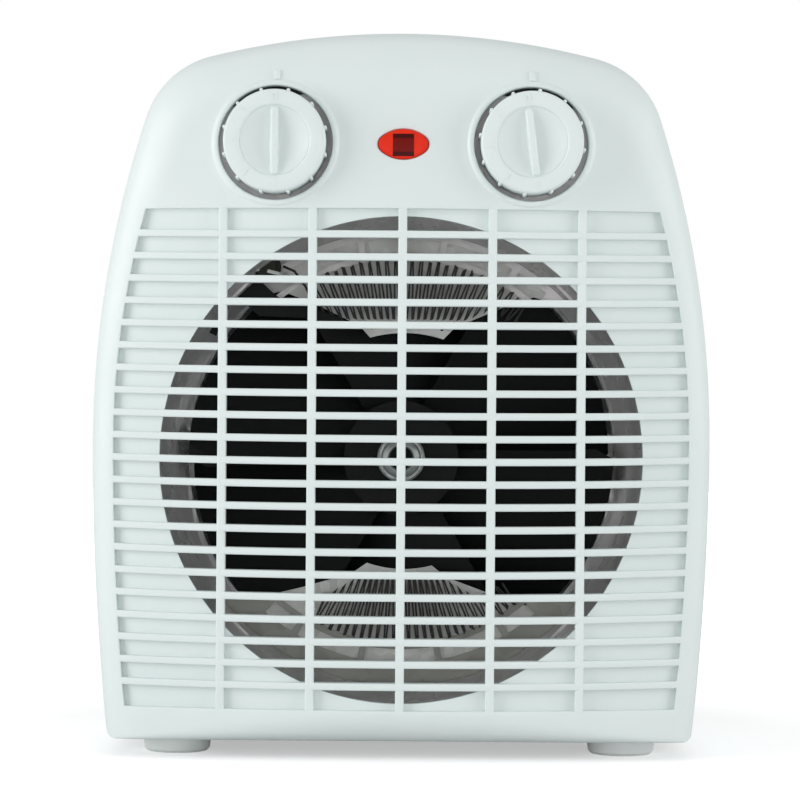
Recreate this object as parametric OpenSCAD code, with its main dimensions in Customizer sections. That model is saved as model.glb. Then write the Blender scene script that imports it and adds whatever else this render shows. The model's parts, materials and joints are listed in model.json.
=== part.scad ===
// Upright fan heater: a shallow moulded front with a flush slatted outlet, a deep rear housing,
// a zigzag wire element on mica plates, an axial fan on a shaded-pole motor, and two rotary controls.
// The front faces -Y, the heater stands on the plane z = 0, and all lengths are in millimetres.

/* [Housing] */
// Height from the floor to the top of the housing
body_h = 260.5; // [258:0.5:263]
// Width of the housing where it is widest
body_w = 222.6; // [220:0.2:226]
// Depth from the face of the knobs to the flat back
body_d = 124; // [122:0.5:128]
// Thickness of the moulded walls
wall = 2.6; // [2.2:0.1:2.8]
// Height of the feet below the housing
foot_h = 6.2; // [5:0.2:7]

/* [Outlet grille] */
// Thickness of one horizontal slat
slat_t = 2.6; // [2.0:0.1:3.2]
// Width of one upright rib
rib_w = 3.1; // [2.4:0.1:3.8]
// How far the panel between the slats is sunk below the face
pocket_depth = 2.6; // [1.8:0.1:3.2]
// Diameter of the round air outlet in the panel
outlet_d = 173; // [168:0.5:175]

/* [Controls] */
// Diameter of a control knob without its grip nubs
knob_d = 36.2; // [33:0.2:36.6]
// Distance of each knob from the middle of the heater
knob_x = 45.4; // [44:0.1:48]
// Width of the oval pilot lens
lens_w = 18; // [16:0.2:20]

/* [Fan and element] */
// Diameter of the fan over its blade tips
fan_d = 156; // [148:1:158]
// Diameter of the resistance wire
wire_d = 0.7; // [0.6:0.1:0.9]
// Angle a fan blade is tilted to the fan's disc
blade_pitch = 20; // [16:1:22]

/* [Hidden] */

// clearances
loose = 0.3;      // between parts that are assembled around one another
running = 0.06;   // radial gap of a shaft in its bearing
seat = 0.02;      // radial gap of a part pressed on its neighbour
eps = 1;          // how far a cutting shape runs past the surface it cuts

// main levels
knob_stand = 6;               // how far the knobs reach in front of the face
front_y = -body_d / 2 + knob_stand;
back_y = body_d / 2;
seam_y = front_y + 26;        // where the front housing meets the rear housing
base_z = foot_h;              // underside of the housing
widest_z = 113;
axis_z = 107;                 // height of the fan axis and the outlet centre
outlet_r = outlet_d / 2;

bulge_r = 410;                // the face bulges gently from side to side
brow_r = 300;                 // and leans back over the controls
brow_z = body_h - 70.5;

// outline of the housing seen from the front: tangent arcs
top_arc_r = 284;
shoulder_r = 33;
upper_side_r = 380;
lower_side_r = 960;
foot_corner_r = 4;
front_edge_y = front_y + 23;  // where the front edge begins to slope in
base_edge_y = front_y + 14;   // where the lower front edge begins to slope in
edge_r = 16;                  // radius the front edges follow down to 45 degrees
// the edge from its start to 45 degrees, as [drawn in, forward] steps along its radius
edge_steps = [for (t = [15, 30, 45]) [edge_r * (1 - cos(t)), edge_r * sin(t)]];

top_c = [0, body_h - top_arc_r];
upper_c = [body_w / 2 - upper_side_r, widest_z];
lower_c = [body_w / 2 - lower_side_r, widest_z];

// the point where two circles meet, on the side away from the middle
function meet(p, rp, q, rq) =
  let (d = norm(q - p), a = (rp * rp - rq * rq + d * d) / (2 * d), h = sqrt(rp * rp - a * a), u = (q - p) / d)
  p + a * u + h * [-u[1], u[0]];
function heading(p, q) = atan2(q[1] - p[1], q[0] - p[0]);

shoulder_c = meet(upper_c, upper_side_r - shoulder_r, top_c, top_arc_r - shoulder_r);
top_end = heading(top_c, shoulder_c);
side_end = heading(upper_c, shoulder_c);
corner_c = [lower_c[0] + sqrt(pow(lower_side_r - foot_corner_r, 2)
  - pow(base_z + foot_corner_r - widest_z, 2)), base_z + foot_corner_r];
corner_tilt = heading(lower_c, corner_c);

// the wedge outside a small corner circle, between two headings
module corner_wedge(c, r, from_t, to_t) {
  difference() {
    polygon([c, c + 3 * r * [cos(from_t), sin(from_t)], c + 4 * r * [cos((from_t + to_t) / 2), sin((from_t + to_t) / 2)],
      c + 3 * r * [cos(to_t), sin(to_t)]]);
    translate(c) circle(r = r, $fn = 96);
  }
}
// a disc across Y whose front edge rolls in to a 45-degree slope; it reaches back to y1
module edged_disc(c, r, inset, y1, fn) {
  h1 = -front_edge_y - inset / 3;
  rr = r - inset;
  last = edge_steps[2];
  translate([c[0], 0, c[1]])
    rotate([90, 0, 0])
      rotate_extrude($fn = fn)
        polygon(concat([[0, -y1], [rr, -y1], [rr, h1]], [for (e = edge_steps) [rr - e[0], h1 + e[1]]],
          [[rr - last[0] - 20, h1 + last[1] + 20], [0, h1 + last[1] + 20]]));
}
// the front housing drawn in by inset, back to y1
module front_block(inset, y1) {
  difference() {
    intersection() {
      edged_disc(top_c, top_arc_r, inset, y1, 360);
      union() {
        intersection() {
          edged_disc([upper_c[0], widest_z], upper_side_r, inset, y1, 360);
          edged_disc([-upper_c[0], widest_z], upper_side_r, inset, y1, 360);
          block(-body_w, body_w, front_y - 5, y1, widest_z, body_h + 10);
        }
        intersection() {
          edged_disc([lower_c[0], widest_z], lower_side_r, inset, y1, 720);
          edged_disc([-lower_c[0], widest_z], lower_side_r, inset, y1, 720);
          block(-body_w, body_w, front_y - 5, y1, base_z + inset, widest_z);
        }
      }
      behind_face(inset);
      behind_brow(inset);
    }
    for (side = [0, 1]) {
      mirror([side, 0, 0]) {
        slab(front_y - 8, y1 + 1) corner_wedge(shoulder_c, shoulder_r - inset, side_end, top_end);
        if (inset < foot_corner_r) {
          slab(front_y - 8, y1 + 1) corner_wedge(corner_c, foot_corner_r - inset, -90, corner_tilt);
        }
      }
    }
    base_cut(inset);
  }
}
// a plan drawn as seen from the front, made solid from y0 to y1
module slab(y0, y1) {
  translate([0, y1, 0]) rotate([90, 0, 0]) linear_extrude(y1 - y0) children();
}
// everything behind the bulging face, sunk by inset
module behind_face(inset) {
  translate([0, front_y + bulge_r, -20]) cylinder(r = bulge_r - inset, h = body_h + 40, $fn = 720);
}
// everything behind the brow, where the face leans back above the grille
module behind_brow(inset) {
  translate([0, front_y + brow_r, brow_z]) rotate([0, 90, 0]) cylinder(r = brow_r - inset, h = 400, center = true, $fn = 720);
  block(-200, 200, front_y + inset, back_y, 0, brow_z);
}

// what is taken off the lower front edge
module base_cut(inset) {
  y1 = base_edge_y + inset / 3;
  z1 = base_z + inset;
  last = edge_steps[2];
  rotate([90, 0, 90])
    linear_extrude(300, center = true)
      polygon(concat([[y1, z1 - 9], [y1, z1]], [for (e = edge_steps) [y1 - e[1], z1 + e[0]]],
        [[y1 - last[1] - 12, z1 + last[0] + 12], [y1 - last[1] - 12, z1 - 9]]));
}

// a bar along Y from y0 to y1
module rod(x, z, r, y0, y1, fn = 32) {
  translate([x, y1, z]) rotate([90, 0, 0]) cylinder(r = r, h = y1 - y0, $fn = fn);
}
module block(x0, x1, y0, y1, z0, z1) {
  translate([x0, y0, z0]) cube([x1 - x0, y1 - y0, z1 - z0]);
}

// ---- outlet grille ----
slat_pitch = 8;
slat_count = 21;
top_slat_z = 187;
rib_pitch = 31.9;
recess_top_z = 195.9;
recess_base_z = 18.3;
recess_margin = 8.2;          // border of the housing beside the recess where the housing is widest
recess_side_r = 310;          // the border grows wider above that
panel_t = 2.2;
grille_depth = pocket_depth + panel_t;
rim_lap = 2.5;                // how far the panel reaches behind the border

// the area of the recess, seen from the front, made larger all round by grow
module recess_area(grow) {
  margin = recess_margin - grow;
  side_c = body_w / 2 - recess_margin - recess_side_r;
  intersection() {
    translate([side_c, widest_z]) circle(r = recess_side_r + grow, $fn = 360);
    translate([-side_c, widest_z]) circle(r = recess_side_r + grow, $fn = 360);
    translate([-body_w, widest_z]) square([2 * body_w, recess_top_z + grow - widest_z]);
  }
  intersection() {
    translate([lower_c[0], widest_z]) circle(r = lower_side_r - margin, $fn = 720);
    translate([-lower_c[0], widest_z]) circle(r = lower_side_r - margin, $fn = 720);
    translate([-body_w, recess_base_z - grow]) square([2 * body_w, widest_z - recess_base_z + grow]);
  }
}
// the cells left open between slats and ribs
module cells() {
  difference() {
    recess_area(0);
    for (k = [0 : slat_count - 1]) {
      translate([-body_w, top_slat_z - k * slat_pitch - slat_t / 2]) square([2 * body_w, slat_t]);
    }
    for (j = [-2 : 2]) {
      translate([j * rib_pitch - rib_w / 2, 0]) square([rib_w, body_h]);
    }
  }
}

// ---- controls in the front ----
knob_z = body_h - 41.2;
well_r = 20.4;                // opening around a knob
lip_r = 22.2;
lip_h = 0.8;                  // how far the raised lips stand off the face
collar_end_y = front_y + 8;   // the collar around a knob ends here
plate_y = front_y + 10.5;     // the sheet metal plate that carries both controls
plate_t = 1.2;
plate_post_r = 3.6;
plate_post_at = [[-66, knob_z - 15.3], [66, knob_z - 15.3], [-18, knob_z + 14.2], [18, knob_z + 14.2]];
bush_r = 5.5;                 // hole for the threaded neck of a control
lens_z = knob_z - 0.5;
lens_h = lens_w * 0.6;
thermostat_turn = 7;          // the thermostat rests turned a little below its zero
control_screw_x = 12;

// an oval of four tangent arcs, w wide and h high
module oval(w, h) {
  a = w / 2;
  b = h / 2;
  e = 0.64 * b;
  r = (pow(a - e, 2) + b * b - e * e) / (2 * (b - e));
  x = r * (a - e) / (r - e);
  intersection() {
    translate([0, b - r]) circle(r = r, $fn = 96);
    translate([0, r - b]) circle(r = r, $fn = 96);
    square([2 * x, h + 1], center = true);
  }
  for (s = [-1, 1]) {
    translate([s * (a - e), 0]) circle(r = e, $fn = 48);
  }
}
module oval_rod(w, h, y0, y1) {
  translate([0, y1, lens_z]) rotate([90, 0, 0]) linear_extrude(y1 - y0) oval(w, h);
}

// ---- posts and screws that hold the housing together ----
post_at = [[-91, base_z + 19.8], [91, base_z + 19.8], [-86, body_h - 68.5], [86, body_h - 68.5]];
post_r = 4.2;
post_hole_r = 1.35;
post_end_y = seam_y + 4;
screw_r = 1.6;
screw_head_r = 3.2;
screw_head_h = 2.2;
sleeve_r = 5.6;
sleeve_bore_r = 3.6;
sleeve_floor_y = back_y - 50; // where the heads of the long screws sit
tongue_t = 1.4;
tongue_l = 4.4;               // how far the tongue is rooted behind the seam

// ---- duct ----
duct_t = 0.9;
tip_gap = 5.1;                // between the blade tips and the duct
duct_r = fan_d / 2 + tip_gap + duct_t;
strap_y = back_y - 44;        // the duct ends here, on the motor strap
duct_post_at = duct_r + 13;   // distance of the duct posts from the axis
duct_post_angles = [45, 135, 225, 315];
ear_y = front_y + 22;

module front_housing() {
  color("white") difference() {
    union() {
      difference() {
        front_block(0, seam_y);
        front_block(wall, seam_y + eps);
        front_window();
      }
      intersection() {
        grille_block();
        front_block(0, seam_y);
      }
      // collars with raised lips around the two knobs, and their index marks
      for (s = [-1, 1]) {
        intersection() {
          difference() {
            rod(s * knob_x, knob_z, lip_r, front_y - 9, collar_end_y, 96);
            rod(s * knob_x, knob_z, well_r, front_y - 10, collar_end_y + eps, 96);
          }
          behind_face(-lip_h);
          behind_brow(-lip_h);
        }
        intersection() {
          difference() {
            block(s * knob_x - 1, s * knob_x + 1, front_y - 9, front_y + 12, knob_z + lip_r - 0.5, knob_z + lip_r + 2.8);
            intersection() {
              behind_face(wall);
              behind_brow(wall);
            }
          }
          behind_face(-lip_h);
          behind_brow(-lip_h);
        }
      }
      // posts for the long screws, the duct and the plate of the controls
      intersection() {
        union() {
          for (p = post_at) {
            rod(p[0], p[1], post_r, front_y, post_end_y);
          }
          for (t = duct_post_angles) {
            rod(duct_post_at * cos(t), axis_z + duct_post_at * sin(t), post_r, front_y, ear_y);
          }
        }
        behind_face(pocket_depth + panel_t / 2);
        behind_brow(wall / 2);
      }
      intersection() {
        union() {
          for (p = plate_post_at) {
            rod(p[0], p[1], plate_post_r, front_y, plate_y);
          }
        }
        behind_face(wall / 2);
        behind_brow(wall / 2);
      }
    }
    for (p = post_at) {
      rod(p[0], p[1], post_hole_r, front_y + 12 + grille_depth, 0);
    }
    for (t = duct_post_angles) {
      rod(duct_post_at * cos(t), axis_z + duct_post_at * sin(t), post_hole_r, front_y + 12 + grille_depth, 0);
    }
    for (p = plate_post_at) {
      rod(p[0], p[1], post_hole_r, plate_y - 4, plate_y + eps);
    }
    oval_rod(lens_w + 0.2, lens_h + 0.2, front_y - 5, front_y + 20);
  }
}

// what is cut out of the plain shell before the grille and the collars go in
module front_window() {
  slab(front_y - 30, seam_y) recess_area(0);
  for (s = [-1, 1]) {
    rod(s * knob_x, knob_z, well_r, front_y - 10, seam_y);
  }
}
// the panel with slats and ribs, with a rim that reaches behind the border of the recess
module grille_block() {
  difference() {
    union() {
      intersection() {
        slab(front_y - 30, seam_y) recess_area(0);
        behind_face(0);
      }
      intersection() {
        slab(front_y - 30, seam_y) recess_area(rim_lap);
        behind_face(wall / 2);
      }
    }
    behind_face(grille_depth);
    // pockets down to the panel
    difference() {
      slab(front_y - 30, seam_y) cells();
      behind_face(pocket_depth);
    }
    // and right through where the outlet is
    slab(front_y - 25, seam_y + 5)
      intersection() {
        cells();
        translate([0, axis_z]) circle(r = outlet_r, $fn = 180);
      }
  }
}

// ---- rear housing ----
rear_edge_r = 14;             // radius of the back edge
intake_r = 76;
intake_pitch = 6.6;
intake_slot = 3.6;
foot_r = 12.5;
foot_at = [[-81, front_y + 35], [81, front_y + 35], [-81, back_y - 20], [81, back_y - 20]];
foot_hole_r = 3.3;
bushing_at = [66, 22];
bushing_r = 5.9;
bushing_flange_r = 8;         // let into the back so that it lies flush
bushing_flange_t = 1.2;
cord_r = 3.7;

// a disc across Y with a rolled back edge
module back_disc(c, r, inset, y0, fn) {
  rr = r - inset;
  translate([c[0], 0, c[1]])
    rotate([90, 0, 0])
      rotate_extrude($fn = fn)
        polygon(concat([[0, inset - back_y], [rr - rear_edge_r + inset * 0.6, inset - back_y]],
          [for (t = [20, 40, 60, 80]) [rr - (rear_edge_r - inset * 0.6) * (1 - sin(t)), inset * 0.4 + rear_edge_r * (1 - cos(t)) - back_y]],
          [[rr, rear_edge_r - back_y], [rr, -y0], [0, -y0]]));
}
// the rear housing drawn in by inset, reaching forward to y0
module rear_block(inset, y0) {
  difference() {
    intersection() {
      back_disc(top_c, top_arc_r, inset, y0, 360);
      union() {
        intersection() {
          back_disc([upper_c[0], widest_z], upper_side_r, inset, y0, 360);
          back_disc([-upper_c[0], widest_z], upper_side_r, inset, y0, 360);
          block(-body_w, body_w, y0, back_y + 1, widest_z, body_h + 10);
        }
        intersection() {
          back_disc([lower_c[0], widest_z], lower_side_r, inset, y0, 720);
          back_disc([-lower_c[0], widest_z], lower_side_r, inset, y0, 720);
          block(-body_w, body_w, y0, back_y + 1, base_z + inset, widest_z);
        }
      }
    }
    for (side = [0, 1]) {
      mirror([side, 0, 0]) {
        slab(y0 - 1, back_y + 1) corner_wedge(shoulder_c, shoulder_r - inset, side_end, top_end);
        if (inset < foot_corner_r) {
          slab(y0 - 1, back_y + 1) corner_wedge(corner_c, foot_corner_r - inset, -90, corner_tilt);
        }
      }
    }
  }
}
// the slots of the air intake
module intake() {
  difference() {
    intersection() {
      translate([0, axis_z]) circle(r = intake_r, $fn = 180);
      union() {
        for (k = [-11 : 11]) {
          translate([-intake_r, axis_z + k * intake_pitch - intake_slot / 2]) square([2 * intake_r, intake_slot]);
        }
      }
    }
    for (j = [-1 : 1]) {
      translate([j * 38 - 1.6, 0]) square([3.2, body_h]);
    }
  }
}

module rear_housing() {
  color("white") difference() {
    union() {
      difference() {
        rear_block(0, seam_y);
        rear_block(wall, seam_y - eps);
      }
      // a tongue that slips into the front housing
      difference() {
        intersection() {
          rear_block(wall + loose, seam_y - 2);
          block(-body_w, body_w, seam_y - 3, seam_y + tongue_l, 0, body_h + 5);
        }
        rear_block(wall + loose + tongue_t, seam_y - 3);
      }
      difference() {
        intersection() {
          rear_block(wall - 0.5, seam_y + loose);
          block(-body_w, body_w, seam_y, seam_y + tongue_l, 0, body_h + 5);
        }
        rear_block(wall + loose + tongue_t / 2, seam_y - 3);
      }
      for (p = post_at) {
        rod(p[0], p[1], sleeve_r, post_end_y + loose, back_y - wall / 2);
      }
    }
    slab(back_y - wall - 1, back_y + 1) intake();
    for (p = post_at) {
      rod(p[0], p[1], screw_r + loose, seam_y - 5, back_y);
      rod(p[0], p[1], sleeve_bore_r, sleeve_floor_y, back_y + 1);
    }
    for (p = foot_at) {
      translate([p[0], p[1], 0]) cylinder(r = foot_hole_r, h = base_z + wall + 1, $fn = 32);
    }
    rod(bushing_at[0], bushing_at[1], bushing_r + seat, back_y - wall - 1, back_y + 1, 64);
    rod(bushing_at[0], bushing_at[1], bushing_flange_r + seat, back_y - bushing_flange_t, back_y + 1, 64);
  }
}

module feet() {
  for (p = foot_at) {
    color("dimgray") translate([p[0], p[1], 0]) rotate_extrude($fn = 64)
      polygon([[0, 0], [foot_r - 1.6, 0], [foot_r - 0.6, 1], [foot_r, foot_h], [foot_hole_r - seat, foot_h],
        [foot_hole_r - seat, foot_h + wall], [foot_hole_r + 0.8, foot_h + wall + 0.2], [foot_hole_r - 0.8, foot_h + wall + 3], [0, foot_h + wall + 3]]);
  }
}

// a pan-headed screw along Y: shank from y0 to y1, head behind y1
module screw(x, z, r, y0, y1, head_r, head_h) {
  difference() {
    union() {
      rod(x, z, r, y0, y1 + head_h / 2);
      rod(x, z, head_r, y1, y1 + head_h, 48);
    }
    block(x - head_r * 0.7, x + head_r * 0.7, y1 + head_h / 2, y1 + head_h + 1, z - 0.35, z + 0.35);
    block(x - 0.35, x + 0.35, y1 + head_h / 2, y1 + head_h + 1, z - head_r * 0.7, z + head_r * 0.7);
  }
}
module housing_screws() {
  color("silver") for (p = post_at) {
    screw(p[0], p[1], post_hole_r - seat, seam_y - 8, sleeve_floor_y, screw_head_r, screw_head_h);
  }
}

// ---- duct, element frames and element ----
frame_y = front_y + 34;       // front of the two element frames
frame_t = 0.9;
mica_t = 0.8;
mica_y = frame_y - mica_t;
element_y = mica_y - 2.2;     // plane of the zigzag wires
frame_half = 52;              // half the angle a frame spans
rim_h = 7;
duct_in = duct_r - duct_t;
window_out = duct_in - 3.6;
window_in = window_out - 6.5;
frame_in = duct_in - 21.1;
window_step = 12;
rivet_r = 1.2;
mica_out = window_in - 2;
mica_in = mica_out - 29.5;
wire_out = window_in - 0.7;
wire_in = wire_out - 26.8;
wire_half = 32;               // half the angle a bank of wire spans
strands = 36;
mica_rivet_r = mica_out - 5;
mica_rivet_t = 35.5;

// turns a shape drawn at the top of the axis to the heading t, 90 being straight up
module about_axis(t) {
  translate([0, 0, axis_z]) rotate([0, 90 - t, 0]) children();
}
// a ring sector across Y, centred straight up
module sector(r0, r1, half, y0, y1) {
  translate([0, y1, 0])
    rotate([90, 0, 0])
      rotate([0, 0, 90 - half])
        rotate_extrude(angle = 2 * half, $fn = 180)
          translate([r0, 0]) square([r1 - r0, y1 - y0]);
}
rivet_turns = [-40, 0, 40];

module duct() {
  color("silver") difference() {
    intersection() {
      union() {
        difference() {
          rod(0, axis_z, duct_r, front_y, strap_y, 180);
          rod(0, axis_z, duct_in, front_y - 1, strap_y + 1, 180);
        }
        for (t = duct_post_angles) {
          about_axis(t) difference() {
            block(-7, 7, ear_y, ear_y + 1, duct_r - 0.4, duct_post_at + 6);
            rod(0, duct_post_at, screw_r, ear_y - 1, ear_y + 2);
          }
        }
      }
      behind_face(grille_depth + loose);
    }
    for (t = [90, 270]) {
      for (u = rivet_turns) {
        about_axis(t + u) translate([0, frame_y + 4.5, duct_in - 2]) cylinder(r = rivet_r + seat, h = 5, $fn = 24);
      }
    }
    for (s = [-1, 1]) {
      translate([0, strap_y - 6, axis_z]) rotate([0, s * 90, 0]) cylinder(r = screw_r, h = duct_r + 5, $fn = 24);
    }
  }
}
module duct_screws() {
  color("silver") for (t = duct_post_angles) {
    screw(duct_post_at * cos(t), axis_z + duct_post_at * sin(t), post_hole_r - seat, front_y + 17, ear_y + 1, 3, 2);
  }
}

module element_frame() {
  difference() {
    union() {
      sector(frame_in, duct_in - 0.1, frame_half, frame_y, frame_y + frame_t);
      sector(duct_in - 1, duct_in - 0.1, frame_half, frame_y, frame_y + rim_h);
    }
    for (k = [-3.5 : 1 : 3.5]) {
      rotate([0, k * window_step, 0]) sector(window_in, window_out, window_step / 2 - 0.8, frame_y - 1, frame_y + frame_t + 1);
    }
    for (u = rivet_turns) {
      rotate([0, u, 0]) translate([0, frame_y + 4.5, duct_in - 3]) cylinder(r = rivet_r + seat, h = 5, $fn = 24);
    }
    for (s = [-1, 1]) {
      rotate([0, s * mica_rivet_t, 0]) rod(0, mica_rivet_r, rivet_r + seat, frame_y - 1, frame_y + 2, 24);
    }
  }
}
module upper_element_frame() {
  color("silver") about_axis(90) difference() {
    element_frame();
    rotate([0, -49, 0]) rod(0, cutoff_stud_at, rivet_r + seat, frame_y - 1, frame_y + 2, 24);
  }
}
module lower_element_frame() {
  color("silver") about_axis(270) element_frame();
}
module frame_rivets() {
  color("silver") for (t = [90, 270]) {
    for (u = rivet_turns) {
      about_axis(t + u) translate([0, frame_y + 4.5, duct_in]) {
        translate([0, 0, -1.95]) cylinder(r = 2.1, h = 0.9, $fn = 32);
        translate([0, 0, -1.95]) cylinder(r = rivet_r, h = 3.75, $fn = 24);
        translate([0, 0, duct_t]) cylinder(r = 2.1, h = 0.9, $fn = 32);
      }
    }
  }
}

// the mica sheet behind one bank of wire
module mica_plate() {
  difference() {
    intersection() {
      sector(mica_in, mica_out, 39, mica_y, frame_y);
      slab(mica_y - 1, frame_y + 1)
        polygon([[-17, 30], [17, 30], [22, 42], [62, 74], [62, 90], [-62, 90], [-62, 74], [-22, 42]]);
    }
    for (s = [-1, 1]) {
      rotate([0, s * mica_rivet_t, 0]) rod(0, mica_rivet_r, rivet_r + seat, mica_y - 1, frame_y + 1, 24);
      rotate([0, s * wire_half, 0]) rod(0, wire_in + 15, wire_d / 2 + seat, mica_y - 1, frame_y + 1, 16);
      for (u = [13, 17, 21]) {
        rotate([0, s * u, 0]) rod(0, mica_in + 2.4, 0.8, mica_y - 1, frame_y + 1, 16);
      }
    }
  }
}
module upper_mica_plate() {
  color("lightgray") about_axis(90) mica_plate();
}
module lower_mica_plate() {
  color("lightgray") about_axis(270) mica_plate();
}
module mica_rivets() {
  color("silver") for (t = [90, 270]) {
    for (s = [-1, 1]) {
      about_axis(t + s * mica_rivet_t) {
        rod(0, mica_rivet_r, 2, mica_y - 0.8, mica_y, 32);
        rod(0, mica_rivet_r, rivet_r, mica_y - 0.8, frame_y + frame_t + 0.8, 24);
        rod(0, mica_rivet_r, 2, frame_y + frame_t, frame_y + frame_t + 0.8, 32);
      }
    }
  }
}

// a straight length of wire between two points
module wire_run(p, q) {
  d = q - p;
  translate(p)
    rotate([0, acos(d[2] / norm(d)), atan2(d[1], d[0])])
      cylinder(r = wire_d / 2, h = norm(d), $fn = 16);
}
function strand_t(k) = -wire_half + 2 * wire_half * k / (strands - 1);
function strand_end(k, r) = [r * sin(strand_t(k)), element_y, r * cos(strand_t(k))];
module heating_wire() {
  for (k = [0 : strands - 1]) {
    wire_run(strand_end(k, k == 0 || k == strands - 1 ? wire_in + 15 : wire_in), strand_end(k, wire_out));
  }
  for (k = [0 : 2 : strands - 2]) {
    wire_run(strand_end(k, wire_out - 0.1), strand_end(k + 1, wire_out - 0.1));
  }
  for (k = [1 : 2 : strands - 3]) {
    wire_run(strand_end(k, wire_in + 0.1), strand_end(k + 1, wire_in + 0.1));
  }
  for (s = [-1, 1]) {
    rotate([0, s * wire_half, 0]) rod(0, wire_in + 15, wire_d / 2, element_y - 0.2, frame_y, 16);
  }
}
module upper_heating_wire() {
  color("dimgray") about_axis(90) heating_wire();
}
module lower_heating_wire() {
  color("dimgray") about_axis(270) heating_wire();
}

// ---- thermal cut-out ----
cutoff_t = 123;               // heading of the cut-out on the upper frame
cutoff_at = duct_in - 8.1;
cutoff_stud_at = duct_in - 7.1;
cutoff_bracket_y = frame_y - 9;

module cutoff_bracket() {
  color("dimgray") about_axis(90) difference() {
    union() {
      rotate([0, -40, 0]) sector(duct_in - 17.1, duct_in - 1.1, 17, cutoff_bracket_y, cutoff_bracket_y + 1);
      rotate([0, -49, 0]) rod(0, cutoff_stud_at, 2.6, cutoff_bracket_y, frame_y);
      rotate([0, -49, 0]) rod(0, cutoff_stud_at, rivet_r, cutoff_bracket_y, frame_y + frame_t + 0.6, 24);
    }
    rotate([0, 90 - cutoff_t, 0]) rod(0, cutoff_at, 3.05, cutoff_bracket_y - 1, cutoff_bracket_y + 2);
  }
}
module thermal_cutoff() {
  color("tan") about_axis(cutoff_t) {
    rod(0, cutoff_at, 6.4, cutoff_bracket_y - 5, cutoff_bracket_y, 48);
    rod(0, cutoff_at, 5, cutoff_bracket_y - 6.4, cutoff_bracket_y - 5, 48);
    rod(0, cutoff_at, 3, cutoff_bracket_y - 1, cutoff_bracket_y + 2);
    for (s = [-1, 1]) {
      block(s * 9 - 6, s * 9 + 6, cutoff_bracket_y - 3.2, cutoff_bracket_y - 2.4, cutoff_at - 2, cutoff_at + 2);
    }
  }
}

// ---- fan and motor ----
fan_room = strap_y - frame_y;
fan_y = frame_y + fan_room / 2;
fan_front_y = fan_y - 0.35 * fan_room;
fan_back_y = fan_y + 0.325 * fan_room;
hub_r = 21;
hub_back_y = fan_y + 2;
shaft_r = 1.6;
blade_count = 6;              // the blades overlap a little, seen from the front
blade_t = 1.4;
motor_y = strap_y + 6;        // front of the stator
stack_t = 20;
rotor_r = 12.6;
bore_r = 13.1;
bearing_r = 5;
bolt_x = 23;
bolt_r = 1.6;
strap_t = 1.5;
cup_r = 7;

module fan() {
  color("black") difference() {
    union() {
      difference() {
        rod(0, axis_z, hub_r, fan_front_y, hub_back_y, 96);
        rod(0, axis_z, hub_r - 1.8, fan_front_y + 2, hub_back_y + 1, 96);
      }
      rod(0, axis_z, 5, fan_front_y, strap_y - 3, 48);
      intersection() {
        difference() {
          rod(0, axis_z, fan_d / 2, fan_front_y + 0.5, fan_back_y, 180);
          rod(0, axis_z, hub_r - 1, fan_front_y - 1, fan_back_y + 1, 96);
        }
        union() {
          for (k = [0 : blade_count - 1]) {
            about_axis(90 + k * 360 / blade_count)
              translate([0, fan_y, 0])
                rotate([0, 0, blade_pitch])
                  slab(-blade_t / 2, blade_t / 2)
                    polygon([[-13, 15], [13, 15], [36, 52], [52, 76], [50, 95], [-50, 95], [-52, 76], [-36, 52]]);
          }
        }
      }
    }
    rod(0, axis_z, shaft_r + seat, fan_front_y - 1, strap_y);
  }
}
module fan_cap() {
  color("silver") translate([0, fan_front_y, axis_z]) rotate([90, 0, 0]) difference() {
    rotate_extrude($fn = 64)
      polygon([[0, 0], [8.8, 0], [8.8, 0.8], [7.2, 2.6], [6.4, 4], [4.8, 4], [4.6, 1.2], [0, 1.2]]);
    translate([0, 0, -1]) cylinder(r = shaft_r + seat, h = 6, $fn = 32);
  }
}
module motor_shaft() {
  color("silver") rod(0, axis_z, shaft_r, fan_front_y - 3, motor_y + stack_t + 6, 48);
}
module rotor() {
  color("gray") difference() {
    union() {
      rod(0, axis_z, rotor_r, motor_y + 1, motor_y + stack_t - 1, 96);
      rod(0, axis_z, 3.4, motor_y + 0.6, motor_y + stack_t - 0.6);
    }
    rod(0, axis_z, shaft_r + seat, motor_y, motor_y + stack_t);
    for (k = [0 : 11]) {
      about_axis(k * 30) rod(0, 10.9, 0.8, motor_y, motor_y + stack_t, 16);
    }
  }
}
leg_top = -31;
leg_base = -41;
module stator() {
  color("slategray") difference() {
    block(-29, 29, motor_y, motor_y + stack_t, axis_z + leg_base, axis_z + 22);
    rod(0, axis_z, bore_r, motor_y - 1, motor_y + stack_t + 1, 96);
    block(-17.5, 17.5, motor_y - 1, motor_y + stack_t + 1, axis_z + leg_top, axis_z - 18);
    for (s = [-1, 1]) {
      rod(s * bolt_x, axis_z, bolt_r + 0.1, motor_y - 1, motor_y + stack_t + 1);
      block(s * 24 - 6, s * 24 + 6, motor_y - 1, motor_y + stack_t + 1, axis_z + 17, axis_z + 23);
    }
  }
}
module motor_coil() {
  color("firebrick") difference() {
    union() {
      for (s = [-1, 1]) {
        block(s * 15.6 - 1, s * 15.6 + 1, motor_y - 6.4, motor_y + stack_t + 6.4, axis_z + leg_base - 6.6, axis_z + leg_top + 7.4);
      }
      block(-15, 15, motor_y - 5.4, motor_y + stack_t + 5.4, axis_z + leg_base - 5.6, axis_z + leg_top + 6.2);
    }
    block(-18, 18, motor_y - seat, motor_y + stack_t + seat, axis_z + leg_base - seat, axis_z + leg_top + seat);
  }
}
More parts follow.
